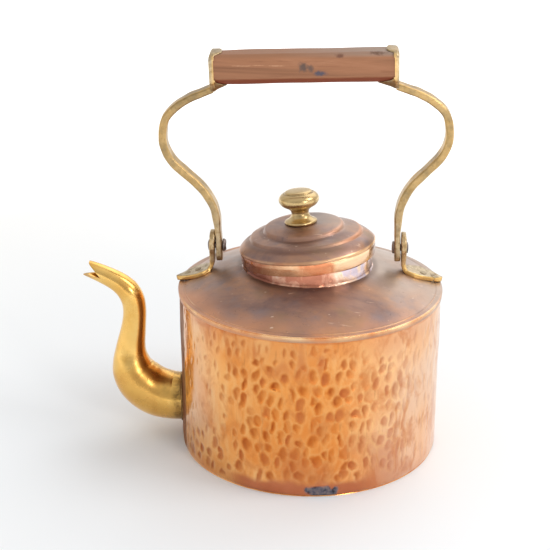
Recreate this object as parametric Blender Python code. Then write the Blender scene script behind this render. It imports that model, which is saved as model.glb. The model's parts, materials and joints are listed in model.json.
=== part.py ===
"""Copper kettle: a hammered drum body, a brass gooseneck spout, a lift-off lid and a swinging bail.

Metres, +Z up. The origin is the centre of the base's underside. The spout points along -X and the
bail swings about an axis along X. The neck, lid, lugs and bail stand a little towards the spout,
because the shoulder was soldered on slightly off centre.
"""
import math

import bmesh
import bpy
from mathutils import Vector

# Driving dimensions.
GAP = 0.0003                 # running gap between pieces that touch
TURN_STEPS = 60              # facets round the drum
LID_STEPS = 40               # facets round the neck and the lid
WALL_RADIUS = 0.0922
WALL_THICKNESS = 0.0012
WALL_TOP = 0.1171
SHEET = 0.0009               # thickness of the shoulder, neck and lid sheet
BASE_FLANGE = 0.009

RIM_RADIUS = 0.0931          # outside of the fold that grips the wall's top
RIM_TOP = 0.1182
BAND_INNER = 0.0884          # inner edge of the flat band round the shoulder
CONE_FOOT = 0.1188
CONE_TOP_RADIUS = 0.0462
CONE_TOP = 0.1338

NECK_X = -0.0019             # the neck, lid, lugs and bail share this centre
NECK_RADIUS = 0.0447
NECK_TOP = 0.1433

LID_CENTRE = (-0.0022, 0.0002, 0.1475)
LID_LEAN = (-0.095, 0.062)   # the lid sits askew, so its axis leans by these slopes in X and Y
LID_RADIUS = 0.0475
SKIRT_RADIUS = 0.0470
SKIRT_DEPTH = 0.0079
KNOB_OFFSET = -0.003         # the knob stands off the lid's centre
DOME_TOP = 0.0166
CROWN_TILT = 0.05            # the dome's inner disc is dished up towards the back by this slope

SPOUT_Z = 0.0287             # height of the spout's root
SPOUT_HOLE = 0.0125
SPOUT_SIDES = 20

LUG_Y = 0.006                # the lugs and the bail stand a little behind the neck's centre
PIVOT_Z = 0.1446             # height of the bail's swing axis
PIN_RADIUS = 0.0024
EAR_X = 0.0675               # the ear's middle, from the neck's centre
STRAP = 0.003                # thickness of the lugs
ARM_X = 0.0625               # the arm's middle at the pivot, from the neck's centre
ARM_THICKNESS = 0.0042
ARM_HALF_WIDTH = 0.0056
BAIL_LEAN = 0.028            # the bail is pushed out of true by this slope
LUG_TIPS = {"left": 0.0946, "right": 0.0931}
FOOT_WIDTHS = {"left": (0.0080, 0.0082, 0.0058), "right": (0.0062, 0.0060, 0.0042)}

GRIP_HALF = 0.0602           # half the wooden bar's length
GRIP_LOW = 0.1183            # the bar's underside, above the swing axis
GRIP_HIGH = 0.1391
GRIP_DEPTH = 0.022
PLATE_INNER = 0.0605
PLATE_OUTER = 0.0632
ROD_HEIGHT = 0.1284
ROD_RADIUS = 0.0022

COPPER = ((0.78, 0.38, 0.19), 0.28, 1.0)
AGED_COPPER = ((0.42, 0.27, 0.21), 0.45, 1.0)
BRASS = ((0.80, 0.56, 0.22), 0.22, 1.0)
AGED_BRASS = ((0.60, 0.46, 0.24), 0.38, 1.0)
WOOD = ((0.42, 0.20, 0.11), 0.55, 0.0)


def clear_scene():
    for old in list(bpy.data.objects):
        bpy.data.objects.remove(old, do_unlink=True)


def material(name, look):
    colour, roughness, metallic = look
    made = bpy.data.materials.get(name)
    if made is None:
        made = bpy.data.materials.new(name)
        made.use_nodes = True
        shader = made.node_tree.nodes["Principled BSDF"]
        shader.inputs["Base Color"].default_value = (*colour, 1.0)
        shader.inputs["Roughness"].default_value = roughness
        shader.inputs["Metallic"].default_value = metallic
    return made


def new_object(name, bm, finish, smooth_angle=35.0):
    """Turn a finished bmesh into a named object with its material."""
    bmesh.ops.remove_doubles(bm, verts=bm.verts, dist=1e-6)
    bmesh.ops.recalc_face_normals(bm, faces=bm.faces)
    mesh = bpy.data.meshes.new(name)
    bm.to_mesh(mesh)
    bm.free()
    mesh.shade_smooth()
    mesh.set_sharp_from_angle(angle=math.radians(smooth_angle))
    mesh.materials.append(material(*finish))
    made = bpy.data.objects.new(name, mesh)
    bpy.context.scene.collection.objects.link(made)
    return made


def turned(name, profile, finish, steps=TURN_STEPS, closed=True):
    """Spin a (radius, height) profile about Z: a closed one makes a ring, an open one a solid."""
    bm = bmesh.new()
    verts = [bm.verts.new((radius, 0.0, height)) for radius, height in profile]
    edges = [bm.edges.new(pair) for pair in zip(verts, verts[1:])]
    if closed:
        edges.append(bm.edges.new((verts[-1], verts[0])))
    bmesh.ops.spin(bm, geom=verts + edges, cent=(0, 0, 0), axis=(0, 0, 1),
                   angle=math.tau, steps=steps, use_merge=True)
    return new_object(name, bm, finish)


def spline(points, per_span):
    """Catmull-Rom curve through points of any dimension."""
    ends = [[2 * a - b for a, b in zip(points[0], points[1])],
            [2 * a - b for a, b in zip(points[-1], points[-2])]]
    knots = [ends[0], *points, ends[1]]
    curve = []
    for a, b, c, d in zip(knots, knots[1:], knots[2:], knots[3:]):
        for step in range(per_span):
            t = step / per_span
            curve.append([0.5 * (2 * q + (r - p) * t + (2 * p - 5 * q + 4 * r - s) * t * t
                                 + (3 * q - p - 3 * r + s) * t ** 3)
                          for p, q, r, s in zip(a, b, c, d)])
    curve.append(list(points[-1]))
    return curve


def tangents(line):
    """Unit directions in XZ along a line whose points start with x and z."""
    found = []
    for index in range(len(line)):
        before = line[max(index - 1, 0)]
        after = line[min(index + 1, len(line) - 1)]
        dx, dz = after[0] - before[0], after[1] - before[1]
        length = math.hypot(dx, dz)
        found.append((dx / length, dz / length))
    return found


def bridge(bm, rings, closed=True):
    """Skin neighbouring rings of vertices with quads."""
    for lower, upper in zip(rings, rings[1:]):
        count = len(lower)
        for index in range(count if closed else count - 1):
            after = (index + 1) % count
            bm.faces.new((lower[index], lower[after], upper[after], upper[index]))


def strap(name, line, thickness, finish, chamfer=0.0006):
    """A flat bar bent in XZ. Each point of the line is x, z and the half width in Y."""
    bm = bmesh.new()
    rings = []
    for (x, z, half), (tx, tz) in zip(line, tangents(line)):
        flat = thickness / 2
        cut = min(chamfer, half * 0.4)
        outline = [(flat, half - cut), (flat - cut, half), (cut - flat, half), (-flat, half - cut),
                   (-flat, cut - half), (cut - flat, -half), (flat - cut, -half), (flat, cut - half)]
        rings.append([bm.verts.new((x - tz * off, y, z + tx * off)) for off, y in outline])
    bridge(bm, rings)
    bm.faces.new(rings[0])
    bm.faces.new(reversed(rings[-1]))
    return new_object(name, bm, finish)


def extruded(name, outline, direction, finish, bevel=0.0):
    """A flat outline pushed along a direction, with its edges eased by a bevel modifier."""
    bm = bmesh.new()
    face = bm.faces.new([bm.verts.new(point) for point in outline])
    moved = bmesh.ops.extrude_face_region(bm, geom=[face])["geom"]
    bmesh.ops.translate(bm, vec=direction, verts=[v for v in moved if isinstance(v, bmesh.types.BMVert)])
    made = new_object(name, bm, finish)
    if bevel:
        ease = made.modifiers.new("eased edges", "BEVEL")
        ease.width = bevel
        ease.segments = 2
        ease.limit_method = "ANGLE"
    return made


def rod_along(axis, name, centre, radius, length, steps=24):
    """A plain round cutter centred on a point, lying along X or standing along Z."""
    bm = bmesh.new()
    bmesh.ops.create_cone(bm, cap_ends=True, segments=steps, radius1=radius, radius2=radius,
                          depth=length)
    cutter = new_object(name, bm, ("cutter", WOOD))
    cutter.location = centre
    if axis == "X":
        cutter.rotation_euler = (0, math.pi / 2, 0)
    cutter.hide_render = True
    cutter.display_type = "WIRE"
    return cutter


def cut(target, cutter):
    hole = target.modifiers.new(cutter.name, "BOOLEAN")
    hole.operation = "DIFFERENCE"
    hole.object = cutter
    return target


def empty(name, location, rotation=(0.0, 0.0, 0.0)):
    made = bpy.data.objects.new(name, None)
    made.location = location
    made.rotation_euler = rotation
    bpy.context.scene.collection.objects.link(made)
    return made


def carry(parent, *children):
    for child in children:
        child.parent = parent


def skew_to_neck(made):
    """Slide a shoulder's vertices so that its neck end is centred on the neck and its rim is not."""
    for vert in made.data.vertices:
        radius = math.hypot(vert.co.x, vert.co.y)
        share = (BAND_INNER - radius) / (BAND_INNER - CONE_TOP_RADIUS)
        vert.co.x += NECK_X * min(max(share, 0.0), 1.0)


def shoulder_height(x):
    """Height of the shoulder's outside at a place on the X axis."""
    top = CONE_TOP_RADIUS + (NECK_X if x > 0 else -NECK_X)
    share = (BAND_INNER - abs(x)) / (BAND_INNER - top)
    return max(CONE_FOOT + (CONE_TOP - CONE_FOOT) * share, RIM_TOP + GAP)


# --- Drum body -----------------------------------------------------------------------------------

def make_wall():
    inner = WALL_RADIUS - WALL_THICKNESS
    ease = 0.0004
    profile = [(WALL_RADIUS, WALL_TOP - ease), (WALL_RADIUS - ease, WALL_TOP), (inner, WALL_TOP),
               (inner, 0.0), (WALL_RADIUS - 2 * ease, 0.0), (WALL_RADIUS, 2 * ease)]
    wall = turned("body_wall", profile, ("hammered copper", COPPER))
    hole = rod_along("X", "spout_hole_cutter", (-WALL_RADIUS, 0, SPOUT_Z), SPOUT_HOLE, 0.02, 32)
    return cut(wall, hole)


def make_base():
    outer = WALL_RADIUS - WALL_THICKNESS - GAP
    profile = [(0.0, 0.0), (outer - 0.0006, 0.0), (outer, 0.0006), (outer, BASE_FLANGE),
               (outer - 0.0011, BASE_FLANGE), (outer - 0.0011, 0.0018), (outer - 0.0018, 0.0011),
               (0.0, 0.0011)]
    return turned("base_plate", profile, ("base copper", AGED_COPPER), closed=False)


def make_shoulder():
    fold_inner = WALL_RADIUS + GAP
    under = WALL_TOP + GAP
    upturn = NECK_RADIUS - SHEET - 2 * GAP
    profile = [(RIM_RADIUS, under - 0.0024), (RIM_RADIUS, RIM_TOP - 0.0006),
               (RIM_RADIUS - 0.0003, RIM_TOP - 0.0002), (RIM_RADIUS - 0.0009, RIM_TOP),
               (BAND_INNER + 0.0004, RIM_TOP + 0.0002), (BAND_INNER, RIM_TOP),
               (BAND_INNER - 0.0001, CONE_FOOT), (CONE_TOP_RADIUS, CONE_TOP),
               (upturn + 0.0004, CONE_TOP + 0.0008), (upturn, CONE_TOP + 0.0014),
               (upturn, NECK_TOP - 0.004), (upturn - SHEET, NECK_TOP - 0.004),
               (upturn - SHEET, CONE_TOP), (CONE_TOP_RADIUS, CONE_TOP - SHEET),
               (BAND_INNER, CONE_FOOT - SHEET), (BAND_INNER + 0.001, under), (fold_inner, under),
               (fold_inner, under - 0.0024)]
    shoulder = turned("shoulder_plate", profile, ("shoulder copper", AGED_COPPER))
    skew_to_neck(shoulder)
    return shoulder


def make_neck():
    inner = NECK_RADIUS - SHEET
    low = CONE_TOP + 0.0008 + GAP
    ease = 0.0003
    profile = [(NECK_RADIUS, NECK_TOP - ease), (NECK_RADIUS - ease, NECK_TOP),
               (inner + ease, NECK_TOP), (inner, NECK_TOP - ease), (inner, low + GAP),
               (NECK_RADIUS, low)]
    neck = turned("neck_collar", profile, ("collar copper", COPPER), LID_STEPS)
    neck.location.x = NECK_X
    return neck


# --- Spout ---------------------------------------------------------------------------------------

# Middle of the spout from its root to its beak: x, z and the outside radius.
SPOUT_LINE = [
    (-0.0926, 0.0287, 0.0173), (-0.1010, 0.0290, 0.0180), (-0.1100, 0.0308, 0.0184),
    (-0.1180, 0.0348, 0.0184), (-0.1245, 0.0412, 0.0178), (-0.1283, 0.0490, 0.0158),
    (-0.1295, 0.0570, 0.0134), (-0.1295, 0.0650, 0.0111), (-0.1285, 0.0730, 0.0098),
    (-0.1270, 0.0815, 0.0090), (-0.1260, 0.0900, 0.0083), (-0.1258, 0.0975, 0.0082),
    (-0.1269, 0.1050, 0.0084), (-0.1298, 0.1115, 0.0083), (-0.1340, 0.1163, 0.0077),
    (-0.1395, 0.1203, 0.0071), (-0.1475, 0.1241, 0.0066), (-0.1550, 0.1270, 0.0060),
    (-0.1610, 0.1288, 0.0053)]
# The open beak: the corner of its mouth, then round the air in front of it.
BEAK_CUT = [(-0.1478, 0.1222), (-0.1700, 0.1236), (-0.1700, 0.1450), (-0.1574, 0.1450),
            (-0.1562, 0.1322), (-0.1530, 0.1288)]


def spout_ring(bm, station, direction, radius):
    x, z = station[0], station[1]
    tx, tz = direction
    ring = []
    for index in range(SPOUT_SIDES):
        angle = math.tau * index / SPOUT_SIDES
        across, side = radius * math.cos(angle), radius * math.sin(angle)
        ring.append(bm.verts.new((x - tz * across, side, z + tx * across)))
    return ring


def make_spout():
    line = SPOUT_LINE
    directions = tangents(line)
    directions[0] = (-1.0, 0.0)
    bm = bmesh.new()
    skins = []
    for inset in (0.0, 1.0):
        rings = []
        for index, (station, direction) in enumerate(zip(line, directions)):
            wall = 0.0012 + 0.0008 * (1 - index / (len(line) - 1))
            rings.append(spout_ring(bm, station, direction, station[2] - inset * wall))
        skins.append(rings)
    seat = WALL_RADIUS + GAP
    for rings in skins:
        for vert in rings[0]:
            vert.co.x = -math.sqrt(seat ** 2 - vert.co.y ** 2)
    outer, inner = skins
    bridge(bm, outer)
    bridge(bm, inner)
    bridge(bm, [outer[0], inner[0]])
    bridge(bm, [outer[-1], inner[-1]])
    spout = new_object("spout", bm, ("spout brass", BRASS))
    air = extruded("beak_cutter", [(x, -0.02, z) for x, z in BEAK_CUT], (0, 0.04, 0),
                   ("cutter", WOOD))
    air.hide_render = True
    air.display_type = "WIRE"
    return cut(spout, air)


# --- Lid -----------------------------------------------------------------------------------------

# Outside of the lid's stepped dome, from its rim to the middle: radius and height.
DOME_PROFILE = [
    (0.0475, 0.0000), (0.0473, 0.0022), (0.0461, 0.0043), (0.0437, 0.0061), (0.0410, 0.0073),
    (0.0396, 0.0078), (0.0388, 0.0093), (0.0374, 0.0101), (0.0335, 0.0113), (0.0300, 0.0121),
    (0.0284, 0.0125), (0.0274, 0.0146), (0.0259, 0.0155), (0.0200, 0.0163), (0.0120, 0.0166),
    (0.0026, DOME_TOP)]
KNOB_PROFILE = [
    (0.0112, 0.0000), (0.0114, 0.0009), (0.0109, 0.0018), (0.0092, 0.0026), (0.0072, 0.0042),
    (0.0062, 0.0062), (0.0061, 0.0076), (0.0068, 0.0094), (0.0088, 0.0110), (0.0116, 0.0126),
    (0.0135, 0.0146), (0.0141, 0.0166), (0.0137, 0.0186), (0.0122, 0.0204), (0.0102, 0.0215),
    (0.0094, 0.0217), (0.0089, 0.0223), (0.0078, 0.0229), (0.0045, 0.0234), (0.0000, 0.0236)]
STUD_RADIUS = 0.0021
KNOB_SEAT = DOME_TOP + GAP
STUD_HOLE_DEPTH = 0.008


def make_dome():
    """The dome is a sheet: its inside follows every other point of its outside, further in."""
    inside = [(max(radius - SHEET, 0.0026), height - SHEET) for radius, height in DOME_PROFILE[1::2]]
    lip = [(LID_RADIUS - SHEET, 0.0), (LID_RADIUS - SHEET, -0.0005), (LID_RADIUS, -0.0005)]
    profile = list(reversed(inside)) + lip + DOME_PROFILE
    dome = turned("lid_dome", profile, ("lid copper", AGED_COPPER), LID_STEPS)
    for vert in dome.data.vertices:
        radius = math.hypot(vert.co.x, vert.co.y)
        vert.co.z += CROWN_TILT * vert.co.y * min(max((radius - 0.012) / 0.010, 0.0), 1.0) * (
            min(max(1 - (radius - 0.026) / 0.014, 0.0), 1.0))
        vert.co.x += KNOB_OFFSET * min(max(1 - (radius - 0.012) / 0.028, 0.0), 1.0)
    return dome


def make_skirt():
    inner = SKIRT_RADIUS - SHEET
    top = -0.0005 - GAP
    ease = 0.0004
    profile = [(SKIRT_RADIUS, top), (inner, top), (inner - ease, -SKIRT_DEPTH + ease),
               (inner, -SKIRT_DEPTH), (SKIRT_RADIUS - ease, -SKIRT_DEPTH),
               (SKIRT_RADIUS - ease, -SKIRT_DEPTH + ease)]
    return turned("lid_skirt", profile, ("skirt copper", COPPER), LID_STEPS)


def make_knob():
    bore = STUD_RADIUS + GAP
    hollow = [(0.0, STUD_HOLE_DEPTH), (bore, STUD_HOLE_DEPTH), (bore, 0.0)]
    profile = hollow + KNOB_PROFILE
    knob = turned("lid_knob", profile, ("knob brass", BRASS), 28, closed=False)
    knob.location = (KNOB_OFFSET, 0, KNOB_SEAT)
    return knob


def make_stud_and_washer():
    """The stud comes down from the knob through the lid and is headed over a washer."""
    under = DOME_TOP - SHEET - GAP
    washer_low = under - 0.001
    head_low = washer_low - GAP - 0.0012
    washer = turned("knob_washer", [(0.0055, washer_low), (0.0055, under),
                                    (STUD_RADIUS + GAP, under), (STUD_RADIUS + GAP, washer_low)],
                    ("washer brass", AGED_BRASS), 20)
    stud_top = KNOB_SEAT + STUD_HOLE_DEPTH - 0.0006
    stud = turned("knob_stud", [(0.0, head_low), (0.0026, head_low), (0.0036, head_low + 0.0006),
                                (0.0036, washer_low - GAP), (STUD_RADIUS, washer_low - GAP),
                                (STUD_RADIUS, stud_top), (0.0, stud_top)],
                  ("stud brass", AGED_BRASS), 16, closed=False)
    for piece in (washer, stud):
        piece.location = (KNOB_OFFSET, 0, 0)
    return washer, stud


def make_lid():
    up = Vector((0, 0, 1))
    seat = empty("lid_axis", LID_CENTRE)
    seat.rotation_mode = "QUATERNION"
    seat.rotation_quaternion = up.rotation_difference(Vector((*LID_LEAN, 1)))
    washer, stud = make_stud_and_washer()
    carry(seat, make_dome(), make_skirt(), make_knob(), washer, stud)


# --- Lugs ----------------------------------------------------------------------------------------

def lug_line(side):
    """Ear, bend and leaf-shaped foot of a lug: x, z and half width, on the side +1 or -1."""
    word = "right" if side > 0 else "left"
    crown_z, crown = PIVOT_Z + 0.0037, 0.007
    ear = side * EAR_X + NECK_X
    cap = [(ear, crown_z + crown * math.sin(a), max(crown * math.cos(a), 0.0012))
           for a in [math.pi / 2 * (5 - k) / 5 for k in range(5)]]
    shank = [(ear, crown_z, crown), (ear, PIVOT_Z, 0.0068), (ear, 0.1395, 0.0052)]
    rise = STRAP / 2 + GAP + 0.0001
    bend = [(ear + side * 0.0008, 0.1350, 0.0042), (ear + side * 0.0036, 0.1302, 0.0050)]
    foot = []
    for reach, half in zip((0.0760, 0.0815, 0.0870, LUG_TIPS[word]), (*FOOT_WIDTHS[word], 0.0012)):
        foot.append((side * reach, shoulder_height(side * reach) + rise, half))
    return cap + spline(shank + bend + foot, 3)


def make_lug(side, word):
    lug = strap("lug_" + word, lug_line(side), STRAP, ("lug brass", AGED_BRASS))
    lug.location.y = LUG_Y
    hole = rod_along("X", "pin_cutter_" + word, (side * EAR_X + NECK_X, LUG_Y, PIVOT_Z),
                     PIN_RADIUS + GAP, 0.008)
    cut(lug, hole)
    return lug


def make_foot_rivets(side, word, lug, shoulder):
    """Two flush rivets hold each foot to the shoulder, headed inside the kettle."""
    slope = math.atan2(CONE_TOP - CONE_FOOT, BAND_INNER - CONE_TOP_RADIUS - side * NECK_X)
    for reach, place in ((0.0785, "inner"), (0.0860, "outer")):
        x = side * reach
        z = shoulder_height(x)
        radius, head = 0.0016, 0.0026
        top = STRAP + 4 * GAP
        low = -SHEET - 2 * GAP
        profile = [(0.0, low - 0.0009), (head - 0.0006, low - 0.0009), (head, low - 0.0003),
                   (head, low), (radius, low), (radius, top), (head, top),
                   (head - 0.0003, top + 0.0003), (0.0, top + 0.0005)]
        rivet = turned("foot_rivet_%s_%s" % (word, place), profile, ("rivet brass", AGED_BRASS),
                       12, closed=False)
        rivet.location = (x, LUG_Y, z)
        rivet.rotation_euler = (0, side * slope, 0)
        cutter = rod_along("Z", "rivet_cutter_%s_%s" % (word, place), (x, LUG_Y, z),
                           radius + GAP, 0.02, 12)
        cutter.rotation_euler = rivet.rotation_euler
        cut(lug, cutter)
        cut(shoulder, cutter)


def make_pivot_rivet(side, word):
    """The pin that the arm turns on, with a flat head inside and a domed one outside the ear."""
    arm_inner = ARM_X - ARM_THICKNESS / 2 - 0.0004
    ear_outer = EAR_X + STRAP / 2 + GAP
    profile = [(0.0, arm_inner - 0.0022), (0.0038, arm_inner - 0.0022),
               (0.0045, arm_inner - 0.0016), (0.0045, arm_inner), (PIN_RADIUS, arm_inner),
               (PIN_RADIUS, ear_outer), (0.0042, ear_outer), (0.0038, ear_outer + 0.0009),
               (0.0022, ear_outer + 0.0016), (0.0, ear_outer + 0.0018)]
    pin = turned("pivot_rivet_" + word, profile, ("pivot brass", AGED_BRASS), 20, closed=False)
    pin.location = (NECK_X, LUG_Y, PIVOT_Z)
    pin.rotation_euler = (0, side * math.pi / 2, 0)
    return pin


# --- Bail ----------------------------------------------------------------------------------------

# Middle of an arm from above its eye to the grip: distance from the centre, and height over the pivot.
ARM_LINE = [
    (0.0625, 0.0100), (0.0632, 0.0240), (0.0660, 0.0340), (0.0730, 0.0450), (0.0835, 0.0558),
    (0.0915, 0.0648), (0.0958, 0.0740), (0.0966, 0.0840), (0.0938, 0.0935), (0.0860, 0.1005),
    (0.0765, 0.1066), (0.0700, 0.1104), (0.0645, 0.1130)]


def out_of_true(across, height):
    """The bail leans towards the spout and its far end stands higher, growing from the pivots."""
    grown = min(max(height / 0.04, 0.0), 1.0)
    return across - BAIL_LEAN * height, height + BAIL_LEAN * across * grown


def make_arm(side, word):
    eye_z, eye = -0.0036, 0.0062
    cap = [(ARM_X, eye_z - eye * math.cos(a), max(eye * math.sin(a), 0.0012))
           for a in [math.pi / 2 * k / 5 for k in range(5)]]
    shank = [(ARM_X, eye_z, eye), (ARM_X, 0.0, eye)]
    along = [(u, h, ARM_HALF_WIDTH) for u, h in spline(ARM_LINE, 2)]
    line = [(*out_of_true(side * u, h), half) for u, h, half in cap + shank + along]
    arm = strap("bail_arm_" + word, line, ARM_THICKNESS, ("bail brass", AGED_BRASS), 0.001)
    hole = rod_along("X", "eye_cutter_" + word, (side * ARM_X, 0, 0), PIN_RADIUS + GAP, 0.01)
    return cut(arm, hole), hole


def make_grip():
    half_depth = GRIP_DEPTH / 2
    top_cut, low_cut = 0.003, 0.0045
    outline = [(half_depth, GRIP_LOW + low_cut), (half_depth, GRIP_HIGH - top_cut),
               (half_depth - top_cut, GRIP_HIGH), (top_cut - half_depth, GRIP_HIGH),
               (-half_depth, GRIP_HIGH - top_cut), (-half_depth, GRIP_LOW + low_cut),
               (low_cut - half_depth, GRIP_LOW), (half_depth - low_cut, GRIP_LOW)]
    grip = extruded("grip_bar", [(-GRIP_HALF, y, z) for y, z in outline],
                    (2 * GRIP_HALF, 0, 0), ("grip wood", WOOD), 0.0006)
    bore = rod_along("X", "grip_bore_cutter", (0, 0, ROD_HEIGHT), ROD_RADIUS + GAP, 0.14)
    return cut(grip, bore), bore


def make_end_plate(side, word, bore):
    """A plate over the bar's end, with a tab folded over its top and a tongue under it."""
    low, high = GRIP_LOW - GAP, GRIP_HIGH + GAP
    outline = [(PLATE_OUTER, low - 0.005), (PLATE_OUTER, high + 0.0007),
               (PLATE_OUTER - 0.0007, high + 0.0013), (PLATE_INNER - 0.0062, high + 0.0012),
               (PLATE_INNER - 0.0064, high), (PLATE_INNER, high), (PLATE_INNER, low),
               (PLATE_INNER - 0.0085, low), (PLATE_INNER - 0.0087, low - 0.0007),
               (PLATE_INNER - 0.0010, low - 0.0034), (PLATE_INNER + 0.0004, low - 0.005)]
    plate = extruded("grip_plate_" + word, [(side * x, -0.0112, z) for x, z in outline],
                     (0, 0.0224, 0), ("plate brass", AGED_BRASS), 0.0003)
    return cut(plate, bore)


def make_rod():
    """The rod that pulls the two end plates together through the wooden bar."""
    face = PLATE_OUTER + GAP
    half = [(ROD_RADIUS, face), (0.0038, face), (0.0034, face + 0.0008), (0.0, face + 0.0011)]
    profile = [(r, -z) for r, z in reversed(half)] + half
    rod = turned("grip_rod", profile, ("rod brass", AGED_BRASS), 24, closed=False)
    rod.rotation_euler = (0, math.pi / 2, 0)
    rod.location = (0, 0, ROD_HEIGHT)
    return rod


def make_nail(grip):
    """A small nail in the underside of the bar."""
    x, depth, radius = -0.032, 0.006, 0.0006
    top = GRIP_LOW
    profile = [(0.0, top - 0.0011), (0.0012, top - 0.0011), (0.0016, top - 0.0008),
               (0.0016, top - GAP), (radius, top - GAP), (radius, top + depth), (0.0, top + depth)]
    nail = turned("grip_nail", profile, ("nail brass", AGED_BRASS), 16, closed=False)
    nail.location.x = x
    hole = rod_along("Z", "nail_cutter", (x, 0, top), radius + GAP, 2 * depth + 0.001, 16)
    cut(grip, hole)
    return nail, hole


def lean_group(pieces):
    """Give straight-built grip pieces the bail's lean: a shift and a small turn about Y."""
    holder = empty("grip_seat", (-BAIL_LEAN * ROD_HEIGHT, 0, ROD_HEIGHT),
                   (0, -math.atan(BAIL_LEAN), 0))
    for piece in pieces:
        piece.location.z -= ROD_HEIGHT
        piece.parent = holder
    return holder


def make_bail():
    axis = empty("bail_axis", (NECK_X, LUG_Y, PIVOT_Z))
    grip, bore = make_grip()
    nail, nail_hole = make_nail(grip)
    level = [grip, bore, make_rod(), nail, nail_hole]
    for side, word in ((-1, "left"), (1, "right")):
        arm, hole = make_arm(side, word)
        carry(axis, arm, hole)
        level.append(make_end_plate(side, word, bore))
    carry(axis, lean_group(level))


def build():
    clear_scene()
    make_wall()
    make_base()
    shoulder = make_shoulder()
    make_neck()
    make_spout()
    make_lid()
    for side, word in ((-1, "left"), (1, "right")):
        lug = make_lug(side, word)
        make_foot_rivets(side, word, lug, shoulder)
        make_pivot_rivet(side, word)
    make_bail()


build()
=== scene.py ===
"""Looks of the copper kettle: hammered drum, aged shoulder and lid, brass fittings, wooden grip.

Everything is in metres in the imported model's frame: +Z up, the spout along -X, the bail's axis along X.
"""
import json
import math

import bmesh
import bpy
import numpy as np
from mathutils import Matrix, Vector, noise


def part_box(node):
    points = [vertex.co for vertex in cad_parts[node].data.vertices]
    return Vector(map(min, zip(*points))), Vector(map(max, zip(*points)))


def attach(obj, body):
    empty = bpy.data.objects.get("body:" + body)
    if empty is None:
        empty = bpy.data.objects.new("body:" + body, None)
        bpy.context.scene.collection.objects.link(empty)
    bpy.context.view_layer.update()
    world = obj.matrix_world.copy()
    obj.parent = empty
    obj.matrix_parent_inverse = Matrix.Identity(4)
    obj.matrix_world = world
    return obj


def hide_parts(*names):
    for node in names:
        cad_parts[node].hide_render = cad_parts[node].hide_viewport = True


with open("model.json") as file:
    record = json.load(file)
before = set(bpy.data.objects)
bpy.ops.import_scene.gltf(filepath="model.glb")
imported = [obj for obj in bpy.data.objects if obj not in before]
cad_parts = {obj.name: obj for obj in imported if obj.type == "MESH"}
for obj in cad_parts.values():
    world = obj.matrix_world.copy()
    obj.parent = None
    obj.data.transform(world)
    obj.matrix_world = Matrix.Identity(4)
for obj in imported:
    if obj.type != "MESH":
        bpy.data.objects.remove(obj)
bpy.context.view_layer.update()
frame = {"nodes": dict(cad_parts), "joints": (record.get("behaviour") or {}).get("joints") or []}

# --- Driving sizes: most come from the frame, the rest repeat the CAD's own dimensions -------------

JOINTS = {joint["name"]: joint for joint in frame["joints"]}
PIVOT = Vector(JOINTS["bail_swing"]["pos_m"])
LID_UP = Vector(JOINTS["lid_lift"]["axis"])

WALL_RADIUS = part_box("body_wall")[1].x
WALL_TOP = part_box("body_wall")[1].z
RIM_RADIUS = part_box("shoulder_plate")[1].x
RIM_TOP = 0.1182
BAND_INNER = 0.0884          # the flat band inside the rim ends here, and the cone starts
CONE_FOOT = 0.1188
CONE_TOP = 0.1338
CONE_TOP_RADIUS = 0.0462
NECK_LOW, NECK_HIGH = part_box("neck_collar")
NECK_X = (NECK_LOW.x + NECK_HIGH.x) / 2
NECK_RADIUS = (NECK_HIGH.x - NECK_LOW.x) / 2
SHEET = 0.0009               # thickness of the shoulder, neck and lid
GAP = 0.0003                 # left between pieces that touch

LID_SEAT = Vector((-0.0022, 0.0002, 0.1475))
LID_RADIUS = 0.0475
SKIRT_RADIUS = 0.0470
SKIRT_DEPTH = 0.0079
KNOB_OFFSET = -0.003
DOME_TOP = 0.0166

EAR_X = 0.0674               # from the neck's centre to the middle of an ear
ARM_X = 0.0625               # and to the middle of an arm's eye
ARM_THICKNESS = 0.0042
ARM_HALF_WIDTH = 0.0055
BAIL_LEAN = 0.028            # sideways for each metre upwards
GRIP_HALF = 0.0602
GRIP_LOW = 0.1183            # heights over the pivots
GRIP_HIGH = 0.1391
GRIP_DEPTH = 0.022
PLATE_INNER = 0.0605
PLATE_OUTER = 0.0632


def srgb(red, green, blue):
    """A linear colour from the 0 to 255 values that a colour picker shows."""
    return tuple(((value / 255 + 0.055) / 1.055) ** 2.4 if value > 10 else value / 255 / 12.92
                 for value in (red, green, blue)) + (1.0,)


# --- Curves and meshes -----------------------------------------------------------------------------

def spline(points, per_span):
    """Catmull-Rom curve through rows of numbers."""
    points = np.array(points, float)
    knots = np.vstack([2 * points[0] - points[1], points, 2 * points[-1] - points[-2]])
    t = np.linspace(0, 1, per_span, endpoint=False)[:, None]
    spans = [0.5 * (2 * q + (r - p) * t + (2 * p - 5 * q + 4 * r - s) * t ** 2
                    + (3 * q - p - 3 * r + s) * t ** 3)
             for p, q, r, s in zip(knots, knots[1:], knots[2:], knots[3:])]
    return np.vstack([*spans, points[-1:]])


def eased(points, radius, arc=4, closed=False):
    """A polyline with each corner rounded off."""
    points = [np.array(point, float) for point in points]
    made = []
    for index, corner in enumerate(points):
        if not closed and index in (0, len(points) - 1):
            made.append(corner)
            continue
        before, after = points[index - 1], points[(index + 1) % len(points)]
        into, out = before - corner, after - corner
        reach = min(radius, 0.48 * np.linalg.norm(into), 0.48 * np.linalg.norm(out))
        start = corner + into / np.linalg.norm(into) * reach
        end = corner + out / np.linalg.norm(out) * reach
        for t in np.linspace(0, 1, arc + 1):
            made.append((1 - t) ** 2 * start + 2 * t * (1 - t) * corner + t * t * end)
    return made


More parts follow.
